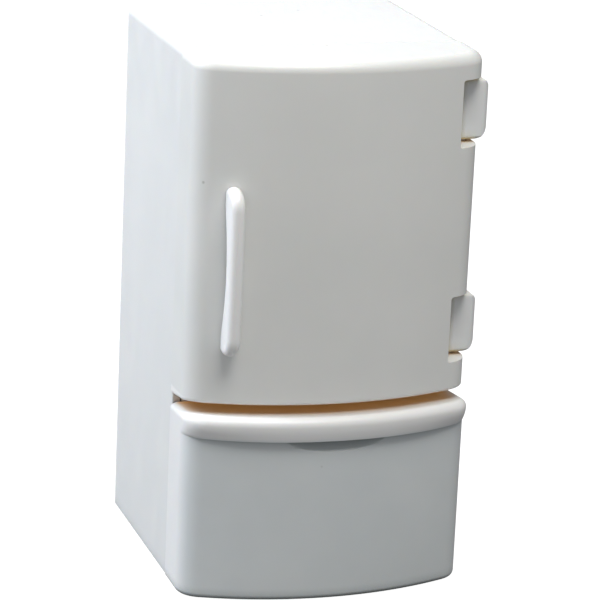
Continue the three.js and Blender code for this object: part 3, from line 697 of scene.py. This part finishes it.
# Painted shade and painted glow: the lug's shut-in side beside the notch wall is darkened towards
# amber-olive, with a faint glow of the seep colour.
knuckle_white = plastic("knuckle_white_styrene", (0.88, 0.89, 0.89), (0.85, 0.86, 0.86), 0.34, 0.14,
                        glow=0.04, corner=(0.5, 0.45, 0.27, 1), corner_start=0.97, corner_amount=0.95,
                        seep=(0.62, 0.5, 0.24, 1), seep_amount=0.8)
for word in ("upper", "lower"):
    low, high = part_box(f"{word}_hinge_knuckle")
    middle = (low.z + high.z) / 2
    arm_inside = shell_high.x + ARM_GAP
    nose = pin_centre[1] - KNUCKLE_RADIUS
    inside_end = pin_centre[0] - 8 * MM
    plan = [Vector((arm_inside, high.y)), Vector((arm_inside, front_plane - ARM_NECK))]
    plan += arc(pin_centre, KNUCKLE_RADIUS, math.pi / 2, math.pi * 3 / 2, 16)
    plan += arc((high.x - ARM_CORNER, nose + ARM_CORNER), ARM_CORNER, -math.pi / 2, 0, 8)
    plan += [Vector((high.x, high.y - ARM_TAIL)), Vector((high.x - ARM_TAIL, high.y))]
    knuckle = loft(f"{word}_knuckle", [[(p.x, p.y, z) for p in plan] for z in (low.z - MM, high.z + MM)])
    front_view = rounded_box_outline((inside_end, low.z), (high.x - HAIR, high.z),
                                     KNUCKLE_TOP_RADIUS, KNUCKLE_FOOT_RADIUS, 10)
    front_tool = loft("front_view", [[(a, y, b) for a, b in front_view] for y in (nose - MM, high.y + MM)])
    combine(knuckle, front_tool, "INTERSECT")
    side_view = rounded_box_outline((nose + HAIR, low.z + HAIR), (high.y - HAIR, high.z - HAIR),
                                    SIDE_TOP_RADIUS, SIDE_FOOT_RADIUS, 8)
    side_tool = loft("side_view", [[(x, a, b) for a, b in side_view] for x in (inside_end, high.x + MM)])
    combine(knuckle, side_tool, "INTERSECT")
    tab = block("tab", (shell_high.x - SHELL_WALL, front_plane + TAB_FROM, middle - TAB_HALF),
                (shell_high.x + MM, front_plane + TAB_TO, middle + TAB_HALF), 0.15 * MM)
    combine(knuckle, tab, "UNION")
    combine(knuckle, rod("knuckle_bore", pin_centre, PIN_BORE, low.z - MM, high.z + MM, "Z", 40))
    soften(knuckle, 0.4 * MM, 4, 35)
    knuckle.data.materials.append(knuckle_white)
    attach(knuckle, "cabinet")
    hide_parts(f"{word}_hinge_knuckle")


# ---------------------------------------------------------------- door shell
# The bowed outer half of the door, moulded hollow. Its hinge edge has two open notches for the
# knuckles, with solid corners above and below them that hold the pins.

door_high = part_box("door_shell")[1]
FRONT_HALF = 32.3 * MM
DOOR_EDGE = 11.9 * MM        # thickness at the side edges
BOW = 7.2 * MM               # extra thickness in the middle
PLAN_CORNER = 6 * MM
DOOR_SKIN = 1.6 * MM
DOOR_TOP_RADIUS = 2.6 * MM
DOOR_FOOT_RADIUS = 0.9 * MM
HINGE_RELIEF = 0.4 * MM      # hinge side set in below the upper notch
GAP_DROP = 1.6 * MM          # the gap over the drawer runs lower at the back
GAP_LEVEL = 44.7 * MM        # underside of the door at the front
BACK_EDGE = 0.5 * MM         # radius of the upright back edges
BACK_STEPS = 4
door_back = door_high.y
bow_radius = (FRONT_HALF ** 2 + BOW ** 2) / (2 * BOW)


def bowed_outline(edge, back, inset=0.0, right_inset=0.0, back_radius=0.0, steps=10):
    """Plan of a bowed front, anticlockwise from its back left corner."""
    radius = bow_radius - inset
    centre_y = front_plane - edge - BOW + bow_radius
    corner = max(PLAN_CORNER - inset, 0.4 * MM)
    turns = {}
    for side in (-1, 1):
        half = FRONT_HALF - inset - (right_inset if side > 0 else 0)
        x = side * (half - corner)
        y = centre_y - math.sqrt((radius - corner) ** 2 - x ** 2)
        turns[side] = (Vector((x, y)), math.atan2(y - centre_y, x))
    left, left_turn = turns[-1]
    right, right_turn = turns[1]
    back_radius = max(back_radius - inset, 0)
    back_turn = corner - back_radius
    points = arc((left.x - back_turn, back - back_radius), back_radius, math.pi / 2, math.pi, BACK_STEPS)
    points += arc(left, corner, -math.pi, left_turn, steps)
    points += arc((0, centre_y), radius, left_turn, right_turn, 36)[1:-1]
    points += arc(right, corner, right_turn, 0, steps)
    points += arc((right.x + back_turn, back - back_radius), back_radius, 0, math.pi / 2, BACK_STEPS)
    return points


def gap_drop(y):
    """How far a surface at the gap has dropped at depth y."""
    share = (y - (front_plane - DOOR_EDGE)) / (door_back - front_plane + DOOR_EDGE)
    return GAP_DROP * min(max(share, 0), 1)


NOTCH_CLEARANCE = 0.5 * MM
NOTCH_X = 26.55 * MM
NOTCH_CORNER = 0.6 * MM
knuckle_boxes = [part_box(f"{word}_hinge_knuckle") for word in ("upper", "lower")]
notches = [(low.z - NOTCH_CLEARANCE, high.z + NOTCH_CLEARANCE) for low, high in knuckle_boxes]
RING_STEP = 4 * MM           # rings along the tall straight runs keep their shading even


def door_rings(inset, top, foot, foot_radius, top_radius, back):
    """Rings of the door from its foot to its top; the hinge side steps in beside the upper notch."""
    rings = []
    stations = edge_rounding(foot, top, foot_radius, top_radius, 8)
    relief_low = notches[0][0] + RING_STEP
    relief_high = notches[0][1] - RING_STEP
    stations += [(relief_low, 0), (relief_high, 0)]
    straight = foot + foot_radius
    stations += [(straight + RING_STEP * k, 0) for k in range(1, 18)
                 if straight + RING_STEP * k < top - top_radius - MM]
    for z, extra in sorted(stations):
        share = min(max((z - relief_low) / (relief_high - relief_low), 0), 1)
        relief = HINGE_RELIEF * (1 - share)
        outline = bowed_outline(DOOR_EDGE, back, inset + extra, relief, BACK_EDGE)
        low_share = min(max((straight + RING_STEP - z) / RING_STEP, 0), 1)
        rings.append([(p.x, p.y, z - low_share * gap_drop(p.y)) for p in outline])
    return rings


BEYOND = 60 * MM             # cutting tools reach well past the door
door_shell = loft("door_shell_moulding", door_rings(0, door_high.z, GAP_LEVEL, DOOR_FOOT_RADIUS,
                                                    DOOR_TOP_RADIUS, door_back))
door_hollow = loft("door_hollow", door_rings(DOOR_SKIN, door_high.z - DOOR_SKIN, GAP_LEVEL + DOOR_SKIN,
                                             0.3 * MM, MM, door_back + 5 * MM))
for low, high in notches:
    combine(door_hollow, block("pin_corner", (NOTCH_X - 1.2 * MM, -BEYOND, low - 3.4 * MM),
                               (BEYOND, 10 * MM, high + 3.4 * MM)))
combine(door_shell, door_hollow)
for low, high in notches:
    combine(door_shell, block("notch", (NOTCH_X, -BEYOND, low), (BEYOND, 10 * MM, high), NOTCH_CORNER))
for node in ("upper_hinge_pin", "lower_hinge_pin"):
    low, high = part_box(node)
    combine(door_shell, rod("pin_bore", pin_centre, PIN_BORE, low.z - 0.2 * MM, high.z + 0.2 * MM, "Z", 40))
handle_low, handle_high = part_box("door_handle")
PEG_RADIUS = 1 * MM
PEG_FIT = 0.15 * MM
PEG_INSET = 2.3 * MM         # peg from the end of the handle
handle_x = (handle_low.x + handle_high.x) / 2
for z in (handle_low.z + PEG_INSET, handle_high.z - PEG_INSET):
    combine(door_shell, rod("peg_hole", (handle_x, z), PEG_RADIUS + PEG_FIT, -BEYOND, front_plane - 4 * MM,
                            "Y", 28))
soften(door_shell, 0.32 * MM, 3)


def place_mask(material, ramps):
    """Mask by the place on the piece: the greatest of some ramps (axis, start, end, height)."""
    tree = material.node_tree
    place = tree.nodes.new("ShaderNodeTexCoord")
    parts = tree.nodes.new("ShaderNodeSeparateXYZ")
    tree.links.new(place.outputs["Object"], parts.inputs["Vector"])
    mask = None
    for axis, start, end, height in ramps:
        share = ramped(tree, parts.outputs[axis], start, end, 0, height)
        mask = calculated(tree, "MAXIMUM", mask, share) if mask else share
    return mask


def paint_lit_region(material, lit_colour, ramps):
    """Paints a lighter colour over a region given by a place mask: a painted highlight, or the lit part
    beside painted shade.
    """
    tree = material.node_tree
    surface = tree.nodes["surface"]
    mask = place_mask(material, ramps)
    for socket, darker in (("Colour", 1), ("Shade", 0.96)):
        unlit = tuple(surface.inputs[socket].default_value)
        lit = (*[c * darker for c in lit_colour], 1)
        tree.links.new(mixed(tree, mask, unlit, lit), surface.inputs[socket])


def paint_seep_glow(material, ramps):
    """Painted glow: warm colour and emission in the gaps of this region stand in for light seeping through
    their walls.
    """
    tree = material.node_tree
    tree.links.new(place_mask(material, ramps), tree.nodes["surface"].inputs["Seep amount"])


# Painted shade in the door's shut-in corners; the glow is painted light in the gaps.
door_white = plastic("door_white_styrene", (0.845, 0.85, 0.83), (0.815, 0.825, 0.805), 0.36, 0.16, glow=0.2,
                     corner=(0.45, 0.46, 0.44, 1), corner_start=0.7, corner_amount=0.5)
# Painted highlight: a whiter band along the door's rounded bottom edge stands in for light bounced up from
# the drawer's top.
foot_edge = GAP_LEVEL + 0.5 * MM
paint_lit_region(door_white, (1, 1, 0.98), [("Z", foot_edge + 0.4 * MM, foot_edge, 1)])
# Painted glow in the gap over the drawer and, weaker, in the hinge notches.
paint_seep_glow(door_white, [("Z", GAP_LEVEL + 1.6 * MM, GAP_LEVEL + MM, 1),
                         ("X", NOTCH_X - MM, NOTCH_X, 0.4)])
door_shell.data.materials.append(door_white)
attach(door_shell, "door")
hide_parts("door_shell")


# ---------------------------------------------------------------- hinge pins
# Two lengths of drawn steel wire with broken edges. Each runs through its knuckle and is pressed into
# the solid corners of the door above and below the notch.

# Painted shade: the Corner settings darken the pins where they are shut in.
pin_steel, pin_shader = finished("drawn_steel", (0.66, 0.67, 0.69), (0.52, 0.52, 0.53), 0.25, 0.5,
                                 corner=(0.2, 0.19, 0.17, 1), corner_amount=0.4)
pin_shader.inputs["Metallic"].default_value = 1
for word in ("upper", "lower"):
    low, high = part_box(f"{word}_hinge_pin")
    pin = rod(f"{word}_pin", pin_centre, (high.x - low.x) / 2, low.z, high.z, "Z", 40, 0.2 * MM)
    soften(pin, 0)
    pin.data.materials.append(pin_steel)
    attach(pin, "door")
    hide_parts(f"{word}_hinge_pin")


# ---------------------------------------------------------------- door liner
# The off-white inner face of the door, glued into the back of its shell. Two upright ribs with ledges
# hold the bins.

door_liner_low, door_liner_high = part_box("door_liner")
PANEL_THICK = 1.4 * MM
RIB_INNER = 23.7 * MM
RIB_OUTER = 25.1 * MM
RIB_FOOT = 47.2 * MM
RIB_HEAD = 115.4 * MM
bin_boxes = {name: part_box(name) for name in ("bottle_bin", "middle_bin", "top_bin")}
PANEL_EDGE = 0.25 * MM
panel_run = [(door_back - PANEL_THICK, 0), (door_back - PANEL_EDGE, 0), (door_back, PANEL_EDGE)]
door_liner = upright_plate("door_liner_moulding", door_liner_low, door_liner_high,
                           1.6 * MM, 1.2 * MM, panel_run, 6)
dish = block("liner_dish", (-RIB_INNER + 1.4 * MM, door_back - 0.35 * MM, RIB_FOOT + 0.6 * MM),
             (RIB_INNER - 1.4 * MM, 10 * MM, RIB_HEAD - MM), 0.3 * MM)
combine(door_liner, dish)
for side in (-1, 1):
    rib = block("bin_rib", (side * RIB_INNER, door_back - 0.5 * MM, RIB_FOOT),
                (side * RIB_OUTER, door_liner_high.y, RIB_HEAD), 0.3 * MM)
    combine(door_liner, rib, "UNION")
    for low, high in bin_boxes.values():
        ledge = block("bin_ledge", (side * (RIB_INNER - 1.4 * MM), door_back - 0.5 * MM, low.z - 1.3 * MM),
                      (side * (RIB_INNER + BITE), high.y - 0.6 * MM, low.z - 0.1 * MM), 0.2 * MM)
        combine(door_liner, ledge, "UNION")
for low, high in notches:
    combine(door_liner, block("corner_room", (NOTCH_X - 1.5 * MM, -BEYOND, low - 3.7 * MM),
                              (BEYOND, door_back + 0.1 * MM, high + 3.7 * MM)))
soften(door_liner, 0.2 * MM, 2)
door_liner.data.materials.append(liner_white)
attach(door_liner, "door")
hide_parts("door_liner")


# ---------------------------------------------------------------- door bins
# Three bins of clear styrene that snap between the ribs: a deep one for bottles at the foot of the
# door, and two shallow ones above it. The outer wall of each leans out from its floor.

BIN_WALL = 1 * MM
DIP_HALF = 13 * MM           # the front edge dips in the middle
DIP_DEEP = 1.6 * MM
for name, (low, high) in bin_boxes.items():
    sides = []
    for inset, tip in ((0, 0), (BIN_WALL, 4 * MM)):
        toe = high.y - inset - (1.2 * MM if not inset else 0.4 * MM)
        sides.append([(low.y + inset, low.z + inset), (toe, low.z + inset),
                      (high.y - inset, low.z + 1.6 * MM + inset / 2), (high.y - inset, high.z + tip),
                      (low.y + inset, high.z + tip)])
    door_bin = loft(f"{name}_tray", [[(x, y, z) for y, z in sides[0]] for x in (low.x, high.x)])
    combine(door_bin, loft("bin_pocket", [[(x, y, z) for y, z in sides[1]]
                                          for x in (low.x + BIN_WALL, high.x - BIN_WALL)]))
    combine(door_bin, block("bin_dip", (-DIP_HALF, high.y - DIP_DEEP, high.z - DIP_DEEP),
                            (DIP_HALF, high.y + MM, high.z + 3 * MM), 0.5 * MM))
    soften(door_bin, 0.25 * MM, 3)
    door_bin.data.materials.append(clear_styrene)
    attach(door_bin, "door")
    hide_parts(name)


# ---------------------------------------------------------------- door handle
# A white bow moulded apart from the door: a bar that turns in at both ends, with a peg behind each foot
# that is glued into a hole in the door.

def bezier(points, steps):
    """Points along one Bezier curve, its first point left out."""
    line = []
    for k in range(1, steps + 1):
        share = k / steps
        row = [Vector(p) for p in points]
        while len(row) > 1:
            row = [a.lerp(b, share) for a, b in zip(row, row[1:])]
        line.append(row[0])
    return line


def inset_outline(points, inset):
    """Closed anticlockwise outline moved inwards by the inset."""
    moved = []
    count = len(points)
    for i in range(count):
        before = (points[i] - points[i - 1]).normalized()
        after = (points[(i + 1) % count] - points[i]).normalized()
        normal = Vector((-before.y, before.x)) + Vector((-after.y, after.x))
        normal.normalize()
        lean = max(normal.dot(Vector((-before.y, before.x))), 0.35)
        moved.append(points[i] + normal * inset / lean)
    return moved


HANDLE_ROUND = 1.46 * MM
FOOT = 4.4 * MM              # height of a foot where it meets the door
TURN = 4.6 * MM              # over this height the bar turns in to the door
BACK_GAP = 1.7 * MM
foot_z, head_z = handle_low.z, handle_high.z
half_way = (foot_z + head_z) / 2
bow_centre_y = front_plane - DOOR_EDGE - BOW + bow_radius
face_y = bow_centre_y - math.sqrt(bow_radius ** 2 - handle_x ** 2)
proud_y = handle_low.y + 0.2 * MM
root_y = face_y + 1.5 * MM
arch = [Vector((root_y, foot_z + FOOT))]
arch += bezier([(root_y, foot_z + FOOT), (face_y - 2 * BACK_GAP, half_way), (root_y, head_z - FOOT)], 28)
top_turn = [Vector((root_y, head_z - 0.4 * MM)), Vector((face_y - 0.8 * MM, head_z))]
top_turn += bezier([(face_y - 0.8 * MM, head_z), (face_y - 3.4 * MM, head_z), (proud_y, head_z - 1.6 * MM),
                    (proud_y, head_z - TURN)], 12)
front_run = bezier([(proud_y, head_z - TURN), (proud_y - 0.4 * MM, half_way), (proud_y, foot_z + TURN)], 24)
foot_turn = bezier([(proud_y, foot_z + TURN), (proud_y, foot_z + 1.6 * MM), (face_y - 3.4 * MM, foot_z),
                    (face_y - 0.8 * MM, foot_z)], 12)
side_view = arch + top_turn + front_run + foot_turn + [Vector((root_y, foot_z + 0.4 * MM))]
handle_rings = []
for x, inset in edge_rounding(handle_low.x, handle_high.x, HANDLE_ROUND, HANDLE_ROUND, 8):
    handle_rings.append([(x, p.x, p.y) for p in inset_outline(side_view, inset)])
handle = loft("handle_bow", handle_rings)
door_face = loft("door_face", [[(p.x, p.y, z) for p in bowed_outline(DOOR_EDGE + 0.12 * MM, door_back)]
                               for z in (foot_z - 5 * MM, head_z + 5 * MM)])
combine(handle, door_face)
for z in (foot_z + PEG_INSET, head_z - PEG_INSET):
    peg = rod("peg", (handle_x, z), PEG_RADIUS, face_y - 1.2 * MM, face_y + 2.6 * MM, "Y", 28, 0.15 * MM)
    combine(handle, peg, "UNION")
soften(handle, 0.12 * MM, 2, 50)
# Painted shade, mild: shut-in places on the handle are darkened towards the default Corner colour.
handle_white = plastic("handle_white_styrene", (0.99, 0.99, 0.985), (0.96, 0.96, 0.955), 0.3, 0.1,
                       corner_amount=0.3)
handle.data.materials.append(handle_white)
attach(handle, "door")
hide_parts("door_handle")


# ---------------------------------------------------------------- freezer drawer front
# Hollow white moulding, bowed like the door. A rounded pull lip runs along its top, most proud near its
# upper edge, and in the middle under the lip is a shallow scoop for the fingers.

drawer_low, drawer_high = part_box("drawer_front")
DRAWER_EDGE = 13 * MM
LIP = 2 * MM
LIP_FOOT = 37.1 * MM
LIP_UNDERCUT = 1.3 * MM      # ledge under the lip in the middle, none at the corners
LIP_CREST = 40.7 * MM
LIP_ROUND = 1.9 * MM
DRAWER_ROUND = 1.2 * MM
SCOOP_HALF = 22 * MM
SCOOP_FOOT = 33.6 * MM
SCOOP_DEEP = 1.9 * MM
SCOOP_RISE = 2.4 * MM        # the scoop is widest this far above the lip's foot, where the lip hides it
LIP_STEP = 0.05 * MM         # four close rings turn the front out into the lip


def lip_proud(x, z):
    """How far the lip stands proud of the drawer front at x and z."""
    if z < LIP_FOOT:
        return 0
    ledge = LIP_UNDERCUT * max(1 - (abs(x) / FRONT_HALF) ** 4, 0)
    rise = min((z - LIP_FOOT) / (LIP_CREST - LIP_FOOT), 1)
    swell = math.sin(rise * math.pi / 2)
    return ledge + (LIP - ledge) * swell


def drawer_ring(z, inset, step_share):
    """Ring of the drawer front at a height; step_share is how much of the lip's ledge is out."""
    outline = bowed_outline(DRAWER_EDGE, door_back, inset, 0, BACK_EDGE)
    ring = []
    for i, p in enumerate(outline):
        on_front = BACK_STEPS < i < len(outline) - BACK_STEPS - 1
        proud = lip_proud(p.x, z) * step_share if on_front else 0
        lower = min(max((z - drawer_high.z + 6 * MM) / (6 * MM), 0), 1) * gap_drop(p.y)
        ring.append((p.x, p.y - proud, z - lower))
    return ring


stations = edge_rounding(drawer_low.z, LIP_FOOT, DRAWER_ROUND, 0, 6)
straight = drawer_low.z + DRAWER_ROUND
stations += [(straight + (LIP_FOOT - straight) * k / 20, 0) for k in range(1, 20)]
drawer_rings = [drawer_ring(z, inset, 0) for z, inset in sorted(stations)]
for k in range(1, 5):
    drawer_rings.append(drawer_ring(LIP_FOOT + LIP_STEP * k, 0, k / 4))
lip_start = LIP_FOOT + 0.3 * MM
for k in range(1, 9):
    drawer_rings.append(drawer_ring(lip_start + (LIP_CREST - lip_start) * k / 9, 0, 1))
for z, inset in edge_rounding(LIP_CREST - MM, drawer_high.z, 0, LIP_ROUND, 12)[1:]:
    drawer_rings.append(drawer_ring(z, inset, 1))
drawer_front = loft("drawer_front_moulding", drawer_rings)
scoop_top = LIP_FOOT + SCOOP_RISE
scoop = bmesh.new()
bmesh.ops.create_uvsphere(scoop, u_segments=64, v_segments=32, radius=1)
bmesh.ops.scale(scoop, vec=(SCOOP_HALF, 2 * SCOOP_DEEP, scoop_top - SCOOP_FOOT), verts=scoop.verts)
scoop_middle = (0, front_plane - DRAWER_EDGE - BOW - SCOOP_DEEP, scoop_top)
bmesh.ops.translate(scoop, vec=scoop_middle, verts=scoop.verts)
finger_scoop = as_piece("finger_scoop", scoop)
combine(finger_scoop, block("under_lip", (-40 * MM, -BEYOND, 20 * MM), (40 * MM, 0, LIP_FOOT + 0.03 * MM)),
        "INTERSECT")
combine(drawer_front, finger_scoop)
hollow_rings = []
hollow_top = drawer_high.z - DOOR_SKIN
for z in (drawer_low.z + DOOR_SKIN, hollow_top - 4 * MM, hollow_top - 0.4 * MM):
    outline = bowed_outline(DRAWER_EDGE - 0.8 * MM, front_plane + 5 * MM, DOOR_SKIN)
    high_up = z > drawer_high.z - 4 * MM
    hollow_rings.append([(p.x, p.y, z - (gap_drop(p.y) if high_up else 0)) for p in outline])
combine(drawer_front, loft("drawer_hollow", hollow_rings))
soften(drawer_front, 0.22 * MM, 3, 38)

# Painted shade: the drawer's front face is coloured darker than the door, and a strong Corner setting
# darkens the band under the lip; the glow is painted light in the gap above.
drawer_white = plastic("drawer_white_styrene", (0.75, 0.785, 0.79), (0.71, 0.75, 0.76), 0.38, 0.16,
                       glow=0.2, corner=(0.2, 0.23, 0.23, 1), corner_start=0.98, corner_amount=1)
# Painted light: the lip and the sides are painted back to a lit white over the darker front.
paint_lit_region(drawer_white, (0.95, 0.95, 0.94), [
    ("Z", LIP_FOOT - 0.1 * MM, LIP_FOOT + 0.9 * MM, 1),
    ("Y", front_plane - DRAWER_EDGE, front_plane - DRAWER_EDGE + 4 * MM, 1)])
# Painted glow on the drawer's top in the gap under the door.
paint_seep_glow(drawer_white, [("Z", LIP_CREST, LIP_CREST + 0.4 * MM, 1)])
drawer_front.data.materials.append(drawer_white)
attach(drawer_front, "drawer")
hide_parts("drawer_front")


# ---------------------------------------------------------------- freezer drawer tub
# The off-white tub and the panel that closes the back of the drawer front are one moulding. Flanges
# along its sides slide on the runners.

TUB_HALF = 26.4 * MM
TUB_FOOT = 4.2 * MM
TUB_RIM = 35.5 * MM
TUB_WALL = 1.3 * MM
FLANGE = 1.5 * MM
tub_low, tub_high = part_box("drawer_tub")
TUB_EDGE = 0.2 * MM          # bevel round the back panel
TUB_CORNER = 1.2 * MM
FLANGE_FOOT = 34.2 * MM
tub = upright_plate("freezer_tub", tub_low, tub_high, 0.8 * MM, 0.8 * MM,
                    [(tub_low.y, 0), (door_back - TUB_EDGE, 0), (door_back, TUB_EDGE)], 5)
body = block("tub_body", (-TUB_HALF, door_back - 0.5 * MM, TUB_FOOT), (TUB_HALF, tub_high.y, TUB_RIM),
             TUB_CORNER, 4)
combine(tub, body, "UNION")
flange = block("tub_flange", (-TUB_HALF - FLANGE, front_plane + 1.5 * MM, FLANGE_FOOT),
               (TUB_HALF + FLANGE, tub_high.y, TUB_RIM), 0.2 * MM)
combine(tub, flange, "UNION")
combine(tub, block("tub_hollow", (-TUB_HALF + TUB_WALL, door_back + 0.2 * MM, TUB_FOOT + TUB_WALL),
                   (TUB_HALF - TUB_WALL, tub_high.y - TUB_WALL, TUB_RIM + 5 * MM), MM, 4))
for x in (-13 * MM, 0, 13 * MM):
    rib = block("tub_rib", (x - 0.45 * MM, door_back + 3 * MM, TUB_FOOT + TUB_WALL / 2),
                (x + 0.45 * MM, tub_high.y - 3 * MM, TUB_FOOT + TUB_WALL + RIB_HIGH), 0.2 * MM)
    combine(tub, rib, "UNION")
soften(tub, 0.2 * MM, 2)
tub.data.materials.append(liner_white)
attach(tub, "drawer")
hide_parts("drawer_tub")


# ---------------------------------------------------------------- camera, light and floor
# A table-top studio: a floor that looks plain white to the camera, a soft light high on the left and a
# second one above the front.

AZIMUTH, ELEVATION, ROLL = (math.radians(a) for a in (18.003, 16.251, 2.591))
DISTANCE = 0.69846
AIM = Vector((0.00389, -0.00151, 0.05593))
look = Vector((math.sin(AZIMUTH) * math.cos(ELEVATION), math.cos(AZIMUTH) * math.cos(ELEVATION),
               -math.sin(ELEVATION)))
level = look.cross(Vector((0, 0, 1))).normalized()
upright = level.cross(look)
right = level * math.cos(ROLL) + upright * math.sin(ROLL)
up = upright * math.cos(ROLL) - level * math.sin(ROLL)
lens = bpy.data.cameras.new("camera")
lens.lens = 184.5
lens.sensor_width = 36
lens.clip_start = 0.01
camera = placed("camera", lens)
facing = Matrix((right, up, -look)).transposed().to_4x4()
camera.matrix_world = Matrix.Translation(AIM - look * DISTANCE) @ facing
bpy.context.scene.camera = camera
bpy.context.scene.view_settings.view_transform = "Standard"

world = bpy.data.worlds.new("studio")
bpy.context.scene.world = world
world.use_nodes = True
world.node_tree.nodes["Background"].inputs["Color"].default_value = (0.97, 0.98, 1, 1)
world.node_tree.nodes["Background"].inputs["Strength"].default_value = 0.34


def softbox(name, place, aim, size, power, colour):
    """Square area light at a place, facing a point."""
    light = bpy.data.lights.new(name, "AREA")
    light.size = size
    light.energy = power
    light.color = colour
    lamp = placed(name, light)
    lamp.location = place
    lamp.rotation_euler = (Vector(aim) - Vector(place)).to_track_quat("-Z", "Y").to_euler()


softbox("key_softbox", (-0.42, 0.15, 0.42), (0, 0, 0.06), 0.35, 3.45, (0.885, 0.93, 1))
softbox("overhead_softbox", (0.02, -0.28, 0.58), (0, -0.03, 0.08), 0.25, 1.95, (1, 0.985, 0.95))

floor_mesh = bpy.data.meshes.new("floor")
FLOOR_HALF = 3.0
floor_mesh.from_pydata([(-FLOOR_HALF, -FLOOR_HALF, 0), (FLOOR_HALF, -FLOOR_HALF, 0),
                        (FLOOR_HALF, FLOOR_HALF, 0), (-FLOOR_HALF, FLOOR_HALF, 0)], [], [(0, 1, 2, 3)])
floor = placed("floor", floor_mesh)
paper = bpy.data.materials.new("white_paper")
paper.use_nodes = True
paper_tree = paper.node_tree
paper_shader = paper_tree.nodes["Principled BSDF"]
paper_shader.inputs["Base Color"].default_value = (0.2, 0.2, 0.2, 1)
paper_shader.inputs["Roughness"].default_value = 0.9
paper_shader.inputs["Emission Color"].default_value = (1, 1, 1, 1)
seen_directly = paper_tree.nodes.new("ShaderNodeLightPath")
paper_tree.links.new(seen_directly.outputs["Is Camera Ray"], paper_shader.inputs["Emission Strength"])
floor_mesh.materials.append(paper)
